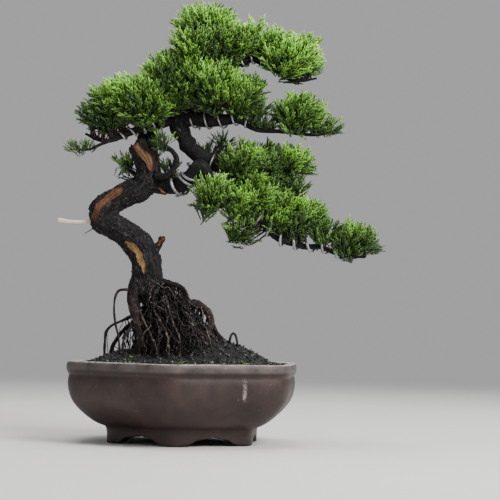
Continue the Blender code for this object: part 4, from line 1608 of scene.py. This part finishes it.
@dataclass
class RootMat:
    """The tangle of thin roots under the trunk, as single wandering strands over a dark core."""

    finish: bpy.types.Material
    strands: int = 380
    strand_mm: tuple[float, ...] = (0.45, 0.6, 0.8, 1.1)
    strand_shares: tuple[float, ...] = (0.35, 0.35, 0.2, 0.1)
    strays: int = 560
    core_voxel_mm: float = 1.8
    pit_mm: float = 5.0
    core_inset_mm: float = 3.0
    seed: int = 5

    def build_strays(self, random: np.random.Generator) -> None:
        """Builds the loose curly strands round the mat, from the trunk's foot out to the soil.

        Args:
            random: The source of chance.
        """
        paths = []
        for _ in range(self.strays):
            angle, reach = random.uniform(0, 2 * math.pi), random.uniform(0.2, 1.0) ** 0.6
            start = np.array(from_rim(random.normal(-34, 11), random.normal(-2, 8), random.uniform(34, 92)))
            x, y = 60 * math.cos(angle) * reach, 40 * math.sin(angle) * reach
            foot = np.array(from_rim(x - 5, y - 2, -1))
            share = np.linspace(0, 1, 18)[:, None]
            path = start + (foot - start) * np.hstack([share**0.8, share**0.8, share**1.25])
            seed = random.uniform(0, 90)
            for size, sway in ((19 * MM, 11 * MM), (7 * MM, 4 * MM)):
                along = share[:, 0] * np.linalg.norm(foot - start) / size
                spots = [((seed, step, 0), (step, seed, 1), (0, step, seed)) for step in along]
                curl = np.array([[noise.noise(spot) for spot in three] for three in spots])
                path += curl * sway * np.clip(share * 6, 0, 1)
            path[:, 2] = np.maximum(path[:, 2], RIM.z - 3 * MM)
            paths.append(path)
        thick = random.choice(self.strand_mm, len(paths), p=self.strand_shares) * MM * 0.9
        radii = [size * np.linspace(1.1, 0.7, len(path)) for size, path in zip(thick, paths)]
        strays, owners = thin_tubes("root_strays", paths, radii, 4)
        set_attributes(strays, grain=points_of(strays), ridge=(random.random(len(paths)) ** 1.6)[owners])
        finish_piece(strays, Slot.BARK, self.finish)

    def build(self) -> None:
        """Builds the strands around the CAD mat's surface, and the core inside it."""
        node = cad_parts["root_mat"]
        low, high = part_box("root_mat")
        tree = BVHTree.FromObject(node, bpy.context.evaluated_depsgraph_get())
        random = np.random.default_rng(self.seed)
        core = copy_of_node("root_mat", "root_mat_strands")
        apply_modifier(core, "REMESH", mode="VOXEL", voxel_size=self.core_voxel_mm * MM)
        pits = smooth_noise(points_of(core) * (1, 1, 0.4), 0.006, 3.0)
        push_out(core, (pits * self.pit_mm - self.core_inset_mm) * MM)
        paths = [np.array(self.wander(tree, low, high, random)) for _ in range(self.strands)]
        paths = [path for path in paths if len(path) > 3]
        for route, count in HANGING_FROM:
            paths += [self.hang(route, random) for _ in range(count)]
        thick = random.choice(self.strand_mm, len(paths), p=self.strand_shares) * MM
        radii = [size * np.linspace(1.15, 0.8, len(path)) for size, path in zip(thick, paths)]
        strands, owners = thin_tubes("root_strands", paths, radii, 5)
        strand_tones = (random.random(len(paths)) ** 1.7)[owners]
        tones = np.concatenate([np.zeros(len(core.data.vertices)), strand_tones])
        activate(core)
        strands.select_set(True)
        bpy.ops.object.join()
        set_attributes(core, grain=points_of(core), ridge=tones)
        finish_piece(core, Slot.BARK, self.finish, "root_mat")
        self.build_strays(random)

    def hang(self, route: Route, random: np.random.Generator) -> np.ndarray:
        """A thin strand that hangs from a thick root down into the soil.

        Args:
            route: The thick root's route.
            random: The source of chance.

        Returns:
            The strand's points.
        """
        places, _ = resampled(route, 2 * MM)
        start = places[random.integers(0, len(places))]
        foot = RIM.z + 4 * MM
        steps = max(4, round((start[2] - foot) / (4 * MM)))
        share = np.linspace(0, 1, steps)[:, None]
        lean = random.normal(0, (7 * MM, 6 * MM))
        end = np.array([start[0] + lean[0], start[1] + lean[1], foot - 3 * MM])
        path = start + (end - start) * share
        seed = random.uniform(0, 90)
        sway = [(noise.noise((seed, 0, z)), noise.noise((0, seed, z)), 0) for z in path[:, 2] / (11 * MM)]
        return path + np.array(sway) * 6 * MM * np.sin(share * math.pi) ** 0.5

    def wander(
        self, tree: BVHTree, low: Vector, high: Vector, random: np.random.Generator
    ) -> list[tuple[float, float, float]]:
        """One strand's path, from the trunk's foot down into the soil.

        Args:
            tree: The CAD mat's surface.
            low: The mat's lowest corner.
            high: Its highest corner.
            random: The source of chance.

        Returns:
            The strand's points.
        """
        angle = random.uniform(0, 2 * math.pi)
        top = random.uniform(0.25, 1.0) ** 0.8
        height = low.z + (high.z - low.z) * top
        depth = random.uniform(0.55, 1.08)
        drift = random.normal(0, 0.10)
        path = []
        wobble = random.uniform(0, 50)
        while height > low.z - 2 * MM:
            share = (height - low.z) / (high.z - low.z)
            axis = Vector((low.x * 0.5 + high.x * 0.5 - 13 * MM * share, (low.y + high.y) / 2, height))
            outwards = Vector((math.cos(angle), math.sin(angle), 0))
            hit = tree.ray_cast(axis + outwards * 0.2, -outwards)[0]
            if hit is None:
                height -= 3 * MM
                continue
            reach = (hit - axis).length * depth
            lift = 1 + 0.14 * noise.noise(Vector((wobble, height / (9 * MM), 0)))
            spot = axis + outwards * reach * lift
            rise = 1.5 * MM * noise.noise(Vector((height / (5 * MM), wobble, 1)))
            path.append((spot.x, spot.y, spot.z + rise))
            angle += drift + 0.22 * noise.noise(Vector((wobble, height / (12 * MM), 9)))
            height -= random.uniform(3.0, 5.5) * MM
        return path


@dataclass
class TrainingWires:
    """The aluminium wires wound on the branches."""

    metal: bpy.types.Material
    steps_per_turn: int = 20
    slack_mm: float = 0.7
    loose_mm: float = 0.9  # how much further the low branch's heavy wires stand off

    def build(self) -> None:
        """Winds every wire."""
        for name, (branch, first, last, pitch, start, radius) in WIRES.items():
            fine, radii = resampled(BRANCHES[branch], 1.0 * MM)
            ahead, _, _ = carried_sides(fine)
            lengths = lengths_along(fine) / MM
            steps = round((last - first) / pitch * self.steps_per_turn)
            wanted = np.linspace(first, last, steps + 1)
            middles, headings = read_along(wanted, lengths, fine), read_along(wanted, lengths, ahead)
            slack = self.slack_mm + (self.loose_mm if branch == "cascade_branch" else 0)
            lift = np.interp(wanted, lengths, radii) + (radius + slack) * MM
            side = Vector((0, 0, 1))
            places = []
            for index, (middle, forward) in enumerate(zip(middles, headings)):
                forward = Vector(forward).normalized()
                side = (side - forward * side.dot(forward)).normalized()
                angle = math.radians(start) + 2 * math.pi * (wanted[index] - first) / pitch
                reach = side * math.cos(angle) + forward.cross(side) * math.sin(angle)
                places.append(Vector(middle) + reach * lift[index])
            wire = sweep(name + "_coil", np.array(places), np.full(len(places), radius * MM), 10)
            finish_piece(wire, Slot.WIRE, self.metal, name)


# ---------------------------------------------------------------- foliage


@dataclass
class SprayMaker:
    """Models a few juniper shoots, each a curved cord with shorter ones forking off it."""

    length_mm: float = 21.0
    radius_mm: float = 1.0
    forks: int = 6
    uplift: float = 0.14
    taper: float = 0.86
    tip_taper: float = 0.35
    turn_between_forks: float = math.radians(137)
    fork_angle: tuple[float, float] = (0.34, 0.6)
    seed: int = 21

    def cord(
        self, start: Vector, heading: Vector, length: float, radius: float, steps: int
    ) -> bpy.types.Object:
        """Models one tapered cord that bends upwards.

        Args:
            start: Its foot.
            heading: Where it grows, as a unit vector.
            length: Its length in metres.
            radius: Its radius at the foot in metres.
            steps: How many segments it has.

        Returns:
            The cord.
        """
        deselect_all()
        turn = heading.to_track_quat("Z", "Y").to_euler()
        place = {"location": start, "rotation": turn}
        bpy.ops.mesh.primitive_circle_add(vertices=3, radius=radius, fill_type="NGON", **place)
        cord = bpy.context.object
        bpy.ops.object.transform_apply(location=True, rotation=True, scale=True)
        with editing():
            ahead = heading.copy()
            for step in range(steps):
                ahead = (ahead + Vector((0, 0, self.uplift))).normalized()
                move = ahead * length / steps
                bpy.ops.mesh.extrude_region_move(TRANSFORM_OT_translate={"value": move})
                shrink = self.taper if step < steps - 1 else self.tip_taper
                bpy.ops.transform.resize(value=(shrink, shrink, shrink))
            bpy.ops.mesh.select_all(action="SELECT")
            bpy.ops.mesh.normals_make_consistent(inside=False)
        return cord

    def spray(self, number: int) -> Stamp:
        """Models one shoot that grows along Z from the origin.

        Args:
            number: Which variant to make.

        Returns:
            The shoot as a stamp.
        """
        random = np.random.default_rng(self.seed + number)
        length = self.length_mm * MM
        lean = Vector((random.normal(0, 0.12), random.normal(0, 0.12), 1)).normalized()
        parts = [(Vector((0, 0, 0)), lean, length, self.radius_mm * MM, 4)]
        turn = random.uniform(0, 2 * math.pi)
        for fork in range(self.forks):
            along = 0.30 + 0.60 * fork / (self.forks - 1)
            turn += self.turn_between_forks + random.normal(0, 0.3)
            angle = random.uniform(*self.fork_angle)
            sideways = math.sin(angle)
            out = Vector((math.cos(turn) * sideways, math.sin(turn) * sideways, math.cos(angle)))
            side_length = length * (0.44 - 0.26 * along) * random.uniform(0.8, 1.2)
            parts.append((lean * length * along, out, side_length, self.radius_mm * MM * 0.86, 2))
        cords = [self.cord(*part) for part in parts]
        tips = []
        for cord, part in zip(cords, parts):
            reach = np.clip(points_of(cord)[:, 2] / length, 0, 1)
            inner = np.linalg.norm(points_of(cord) - np.array(part[0]), axis=1) / part[2]
            tips.append(np.clip(0.55 * reach + 0.5 * np.clip(inner, 0, 1) * (0.4 + 0.6 * reach), 0, 1))
        deselect_all()
        for cord in cords:
            cord.select_set(True)
        bpy.context.view_layer.objects.active = cords[0]
        bpy.ops.object.join()
        return Stamp.of(cords[0], np.concatenate(tips))


@dataclass
class Tufts:
    """Where a pad's tufts stand: feet, headings, whether they are inside the pad, and shoot sizes."""

    feet: np.ndarray
    headings: np.ndarray
    depths: np.ndarray
    sizes: np.ndarray

    @classmethod
    def joined(cls, groups: Sequence["Tufts"]) -> "Tufts":
        """Several groups of tufts as one.

        Args:
            groups: The groups.

        Returns:
            All their tufts, in order.
        """
        names = ("feet", "headings", "depths", "sizes")
        return cls(*(np.concatenate([getattr(group, name) for group in groups]) for name in names))

    def only(self, stays: np.ndarray) -> "Tufts":
        """Some of the tufts.

        Args:
            stays: Whether each tuft stays.

        Returns:
            Those that stay.
        """
        return Tufts(self.feet[stays], self.headings[stays], self.depths[stays], self.sizes[stays])


# Pads whose branch is kept bare from below: the branch, and how far above it the shoots start, in mm
BARE_BELOW = {
    "pad_low_right": ("cascade_branch", 5), "pad_low_tip": ("cascade_branch", 1),
    "pad_right": ("right_branch", 4), "pad_right_inner": ("right_branch", 6),
    "pad_right_tip": ("right_branch", 0), "pad_centre_right": ("right_branch", 10),
    "pad_centre": ("right_branch", 10),
    "pad_left_tip": ("left_branch", 4), "pad_left_middle": ("left_branch", 5),
    "pad_crown_tip": ("crown_branch", 2), "pad_crown_middle": ("crown_branch", 6),
    "pad_diagonal_tip": ("diagonal_branch", -40),
}

# Pads whose foliage is thinner and darker
THIN_PADS = ("pad_low_hanging", "pad_low_left", "tuft_fork", "tuft_behind_stub", "pad_left_tip")

# Foliage between the pads: the pad that it belongs to, then middle and half-sizes in mm from the rim
FILLS = {
    "pad_low_middle": [((60, -16, 184), (20, 18, 13)), ((104, -6, 182), (22, 18, 14))],
    "pad_low_hanging": [((96, -10, 166), (17, 13, 9))],
    "pad_low_tip": [((208, 4, 136), (13, 11, 8))],
    "pad_low_right": [((158, 2, 152), (20, 15, 11)), ((110, -6, 164), (18, 15, 11))],
    "pad_diagonal": [((94, 4, 224), (20, 20, 17)), ((82, -4, 206), (26, 20, 13))],
    "pad_diagonal_tip": [((120, 0, 201), (19, 16, 11))],
    "pad_crown_tip": [
        ((134, -6, 336), (15, 13, 8)), ((99, -2, 366), (20, 20, 15)), ((130, -4, 362), (16, 15, 9)),
    ],
    "pad_crown_front": [((36, -10, 372), (22, 20, 16)), ((38, -8, 346), (22, 18, 13))],
    "pad_centre_right": [((80, -8, 288), (15, 14, 8))],
    "pad_left_middle": [((-89, -14, 296), (22, 26, 17)), ((-42, -12, 308), (24, 28, 22))],
    "pad_centre": [((2, -10, 330), (24, 26, 22))],
    "pad_right": [((148, -7, 274), (14, 12, 9))],
    "tuft_fork": [((24, 26, 241), (18, 12, 14)), ((40, 20, 257), (13, 10, 11))],
    "tuft_behind_stub": [((-24, 28, 224), (14, 12, 13))],
}


@dataclass
class FoliagePad:
    """One cloud of foliage: tufts of shoots all over a CAD pad, on thin twigs from its branch."""

    node: str
    leaves: bpy.types.Material
    tuft_spacing_mm: float = 12.5
    shoots_per_tuft: int = 8
    foot_depth_mm: float = 19.0
    pull_in_mm: float = 6.5
    tuft_spread: float = 0.24
    shoot_mm: float = 18.6
    inner_share: float = 0.1  # of tufts that have another behind them
    share_below: float = 0.45  # of tufts on a pad's underside
    outward_growth: float = 0.45
    upward_growth: float = 0.42
    tries: int = 6  # random places to pick each tuft from

    @property
    def tuft_area(self) -> float:
        """How much surface one tuft covers.

        Returns:
            The area in square metres.
        """
        return (self.tuft_spacing_mm * MM) ** 2

    @property
    def thin(self) -> bool:
        """Whether the foliage is thinner and darker here.

        Returns:
            True where it is.
        """
        return self.node in THIN_PADS

    def cad_surface(self, random: np.random.Generator) -> tuple[np.ndarray, np.ndarray, float]:
        """Random places on the CAD pad, fewer below.

        Args:
            random: The source of chance.

        Returns:
            The places, their normals, and the pad's area.
        """
        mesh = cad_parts[self.node].data
        areas = np.array([face.area for face in mesh.polygons])
        centres = np.array([face.center for face in mesh.polygons])
        normals = np.array([face.normal for face in mesh.polygons])
        keep = areas * np.where(normals[:, 2] < -0.35, self.share_below, 1.0)
        wanted = round(areas.sum() / self.tuft_area) * self.tries
        picked = random.choice(len(areas), wanted, p=keep / keep.sum())
        shift = random.uniform(-0.5, 0.5, (wanted, 3)) * np.sqrt(areas[picked])[:, None]
        shift -= normals[picked] * np.einsum("ij,ij->i", shift, normals[picked])[:, None]
        return centres[picked] + shift, normals[picked], areas.sum()

    def fill_surface(
        self,
        middle: tuple[float, float, float],
        half: tuple[float, float, float],
        random: np.random.Generator,
    ) -> tuple[np.ndarray, np.ndarray, float]:
        """Random places on a rounded fill between pads.

        Args:
            middle: Its middle, in mm from the rim.
            half: Its half-sizes in mm.
            random: The source of chance.

        Returns:
            The places, their normals, and the fill's area.
        """
        size = np.array(half) * MM
        area = 4 * math.pi * (size[0] * size[1] * size[2]) ** (2 / 3)
        wanted = round(area / self.tuft_area) * self.tries
        directions = unit(random.normal(size=(wanted, 3)))
        return np.array(from_rim(*middle)) + directions * size * (1, 1, 0.9), unit(directions / size), area

    def tufts_on(
        self,
        surface: np.ndarray,
        normals: np.ndarray,
        area: float,
        low: np.ndarray,
        high: np.ndarray,
        random: np.random.Generator,
    ) -> Tufts:
        """Picks evenly spread tufts from random places.

        Args:
            surface: The places.
            normals: Their normals.
            area: The surface's area.
            low: The surface's lowest corner.
            high: Its highest corner.
            random: The source of chance.

        Returns:
            The tufts.
        """
        wanted = max(5, round(area / self.tuft_area))
        chosen = []
        for index, place in enumerate(surface):
            apart = np.linalg.norm(surface[chosen] - place, axis=1) if chosen else np.ones(1)
            if apart.min() > self.tuft_spacing_mm * MM * 0.72:
                chosen.append(index)
            if len(chosen) >= wanted:
                break
        surface, normals = surface[chosen], normals[chosen]
        centre, half = (low + high) / 2, (high - low) / 2
        outwards = unit(surface - (centre - (0, 0, half[2] * 1.15)))
        growth = (centre - np.array(from_rim(5, 5, 0))) * (1, 1, 0)
        growth /= max(np.linalg.norm(growth), 60 * MM)
        lean = growth * self.outward_growth + (0, 0, self.upward_growth)
        headings = unit(outwards + normals * 0.2 + lean + random.normal(0, 0.13, surface.shape))
        depth = min(self.foot_depth_mm * MM, half.min() * 1.05)
        pull = min(self.pull_in_mm * MM, half.min() * 0.3) + random.normal(0, 2.4 * MM, (len(surface), 1))
        feet = surface - headings * (depth + pull)
        inner = random.random(len(feet)) < self.inner_share
        inner_feet = feet[inner] - headings[inner] * depth * 0.55
        depths = np.concatenate([np.zeros(len(feet)), np.ones(len(inner_feet))])
        sizes = np.full(len(depths), (depth + 2 * MM) / (self.shoot_mm * MM))
        return Tufts(np.vstack([feet, inner_feet]), np.vstack([headings, headings[inner]]), depths, sizes)

    def cleared_below(self, tufts: Tufts) -> Tufts:
        """Leaves out tufts under the pad's branch, which is kept bare from below.

        Args:
            tufts: The pad's tufts.

        Returns:
            Those that stay.
        """
        if self.node not in BARE_BELOW:
            return tufts
        branch, lift = BARE_BELOW[self.node]
        places, _ = resampled(BRANCHES[branch], 2 * MM)
        middles = tufts.feet + tufts.headings * 9 * MM
        apart = np.linalg.norm(middles[:, None, :2] - places[None, :, :2], axis=2)
        nearest = places[np.argmin(apart, axis=1)]
        return tufts.only(middles[:, 2] > nearest[:, 2] + lift * MM)

    def build(self, sprays: Sequence[Stamp], random: np.random.Generator) -> Tufts:
        """Builds the pad.

        Args:
            sprays: The shoots to choose from.
            random: The source of chance.

        Returns:
            Its tufts, for the twigs.
        """
        low, high = (np.array(corner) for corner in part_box(self.node))
        groups = [self.tufts_on(*self.cad_surface(random), low, high, random)]
        for middle, half in FILLS.get(self.node, []):
            centre, reach = np.array(from_rim(*middle)), np.array(half) * MM
            surface = self.fill_surface(middle, half, random)
            groups.append(self.tufts_on(*surface, centre - reach, centre + reach, random))
        tufts = self.cleared_below(Tufts.joined(groups))
        shoots = self.shoots_per_tuft - (3 if self.thin else 0)
        count = len(tufts.feet) * shoots
        owner = np.repeat(np.arange(len(tufts.feet)), shoots)
        spread = random.normal(0, self.tuft_spread, (count, 3))
        headings = tufts.headings[owner] + spread
        headings[:, 2] += 0.06
        headings = unit(headings)
        places = tufts.feet[owner] + spread * 6 * MM
        places += headings * random.uniform(-2.0, 3.0, (count, 1)) * MM
        sizes = tufts.sizes[owner] * random.uniform(0.78, 1.12, count) * (0.82 if self.thin else 1.0)
        picks = random.integers(0, len(sprays), count)
        turns = turned_to(headings, random.uniform(0, 2 * math.pi, count))
        pad, copies, tips = set_down(self.node + "_shoots", sprays, picks, places, turns, sizes)
        height = np.clip((places[:, 2] - low[2]) / (high[2] - low[2]), 0, 1)
        tuft_tones = random.normal(0, 0.08, len(tufts.feet)) + 0.42 * smooth_noise(tufts.feet, 0.034, 16.0)
        # higher in the pad the tone rises, a painted light from above; tufts behind others are lowered, a
        # painted shade
        tones = (0.3 if self.thin else 0.44) + 0.5 * height + tuft_tones[owner]
        tones += random.normal(0, 0.09, count) - 0.3 * tufts.depths[owner]
        set_attributes(pad, tip=tips, tone=np.clip(tones, 0.02, 1.2)[copies])
        finish_piece(pad, Slot.LEAVES, self.leaves, self.node)
        return tufts


@dataclass
class Twigs:
    """Thin brown twigs that carry the tufts."""

    bark: bpy.types.Material
    rings: int = 6
    shortest_mm: float = 4.0
    foot_mm: float = 1.15
    tip_mm: float = 0.5
    seed: int = 31

    def build(self, tufts: Sequence[Tufts], wood: Wood) -> None:
        """Builds a twig from the nearest branch to each tuft's foot.

        Args:
            tufts: Every pad's tufts.
            wood: The branches that they grow from.
        """
        random = np.random.default_rng(self.seed)
        centres = np.concatenate([wood.tubes[name][0] for name in BRANCHES])
        radii = np.concatenate([wood.tubes[name][1] for name in BRANCHES])
        paths, thick = [], []
        for group in tufts:
            for foot, heading in zip(group.feet, group.headings):
                apart = np.linalg.norm(centres - (foot - heading * 0.01), axis=1)
                nearest = int(np.argmin(apart))
                start, end = centres[nearest], foot + heading * 4 * MM
                length = float(np.linalg.norm(end - start))
                if length < self.shortest_mm * MM:
                    continue
                first = start + (end - start) * 0.35 + random.normal(0, 0.08, 3) * length
                second = end - heading * length * 0.35
                share = np.linspace(0, 1, self.rings)[:, None]
                path = (
                    start * (1 - share) ** 3 + first * 3 * share * (1 - share) ** 2
                    + second * 3 * share**2 * (1 - share) + end * share**3
                )
                foot_radius = min(self.foot_mm * MM, radii[nearest] * 0.8) * min(1.0, 0.5 + length / 0.06)
                paths.append(path)
                thick.append(np.linspace(foot_radius, self.tip_mm * MM, self.rings))
        twigs, _ = thin_tubes("foliage_twigs", paths, thick, 4)
        points = points_of(twigs)
        set_attributes(twigs, grain=points, ridge=0.45 + 0.5 * smooth_noise(points, 0.004, 3.0))
        finish_piece(twigs, Slot.BARK, self.bark)


# ---------------------------------------------------------------- studio


@dataclass
class Studio:
    """The floor, the soft lights and the camera."""

    floor_radius: float = 14.0
    lights_aim: float = 0.25  # the height in metres that the lights face
    lights_away: float = 1.9
    camera_place: tuple[float, float, float] = (0.10297, -1.91563, 0.1334)
    camera_turn: float = math.radians(2.0)
    camera_tilt: float = math.radians(2.499)
    camera_roll: float = math.radians(1.03)
    lens_mm: float = 122.4

    def build(self) -> None:
        """Builds the studio."""
        self.build_floor()
        self.build_camera()
        world = bpy.data.worlds.new("soft_room")
        world.use_nodes = True
        back = world.node_tree.nodes["Background"]
        back.inputs["Color"].default_value = linear(ROOM_COLOUR)
        back.inputs["Strength"].default_value = ROOM_STRENGTH
        bpy.context.scene.world = world
        self.add_light("key", Side.FRONT_RIGHT, 1.0, 60.0)
        self.add_light("fill", Side.FRONT_LEFT, 1.8, 4.0)
        self.add_light("top", Side.ABOVE, 1.1, 28.0)
        self.add_light("back", Side.BEHIND, 1.4, 12.0)

    def build_floor(self) -> None:
        """A wide disc of paper under the pot."""
        deselect_all()
        bpy.ops.mesh.primitive_circle_add(vertices=96, radius=self.floor_radius, fill_type="NGON")
        floor = bpy.context.object
        floor.name = "studio_floor"
        floor.data.materials.append(StudioFloor().make())

    def add_light(self, name: str, side: Side, size: float, power: float) -> None:
        """Hangs one soft light that faces the tree.

        Args:
            name: Its name.
            side: Where it hangs.
            size: Its width in metres.
            power: Its power in watts.
        """
        aim = Vector((0, 0, self.lights_aim))
        place = aim + Vector(side.value).normalized() * self.lights_away
        lamp = bpy.data.lights.new(name, "AREA")
        lamp.size = size
        lamp.energy = power
        holder = new_object(name, lamp)
        holder.location = place
        holder.rotation_euler = (aim - place).to_track_quat("-Z", "Y").to_euler()

    def build_camera(self) -> None:
        """The camera, a little right of the pot's front and tilted up slightly."""
        turn, tilt, roll = self.camera_turn, self.camera_tilt, self.camera_roll
        level = Vector((-math.sin(turn), math.cos(turn), 0))
        right = Vector((math.cos(turn), math.sin(turn), 0))
        upright = Vector((0, 0, 1))
        ahead = level * math.cos(tilt) + upright * math.sin(tilt)
        up = upright * math.cos(tilt) - level * math.sin(tilt)
        across = right * math.cos(roll) + up * math.sin(roll)
        high = up * math.cos(roll) - right * math.sin(roll)
        lens = bpy.data.cameras.new("camera")
        lens.lens = self.lens_mm
        lens.sensor_width = 36.0
        camera = new_object("camera", lens)
        columns = Matrix((across, high, -ahead)).transposed()
        camera.matrix_world = Matrix.Translation(self.camera_place) @ columns.to_4x4()
        bpy.context.scene.camera = camera


# ---------------------------------------------------------------- the whole


@dataclass
class Bonsai:
    """The whole tree in its pot."""

    seed: int = 7

    def build(self) -> None:
        """Builds every sub-assembly in order."""
        leaves = Foliage().make()
        metal = AnodisedWire().make()
        grit = Grit().make()
        bark = Bark().make("old_juniper_bark")
        dark_roots = Bark("#0c0908", "#211a18", "#362d2a", "#5f5651", 0.62).make("juniper_root_bark")
        pale_roots = Bark("#120e0c", "#312824", "#5c524c", "#958a82", 0.55).make("washed_root_bark")
        mat_roots = Bark("#070505", "#191412", "#3a322f", "#857b75", 0.6).make("tangled_root_bark")
        twig_bark = Bark("#130f0d", "#241c18", "#3c312a", "#66574c", 0.55).make("juniper_twig_bark")
        maker = SprayMaker()
        sprays = [maker.spray(number) for number in range(4)]
        Pot(FiredClay().make(), ScreenPlastic().make(), metal).build()
        Soil(grit, leaves).build(sprays[0])
        wood = Wood(bark, dark_roots, pale_roots, BleachedWood().make())
        wood.build()
        RootMat(mat_roots).build()
        TrainingWires(metal).build()
        random = np.random.default_rng(self.seed)
        tufts = []
        for node in sorted(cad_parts):
            if node.startswith(("pad_", "tuft_")):
                tufts.append(FoliagePad(node, leaves).build(sprays, random))
        Twigs(twig_bark).build(tufts, wood)


def main() -> None:
    """Builds the tree and its studio."""
    logging.basicConfig(level=logging.INFO)
    Bonsai().build()
    Studio().build()


if __name__ == "__main__":
    main()
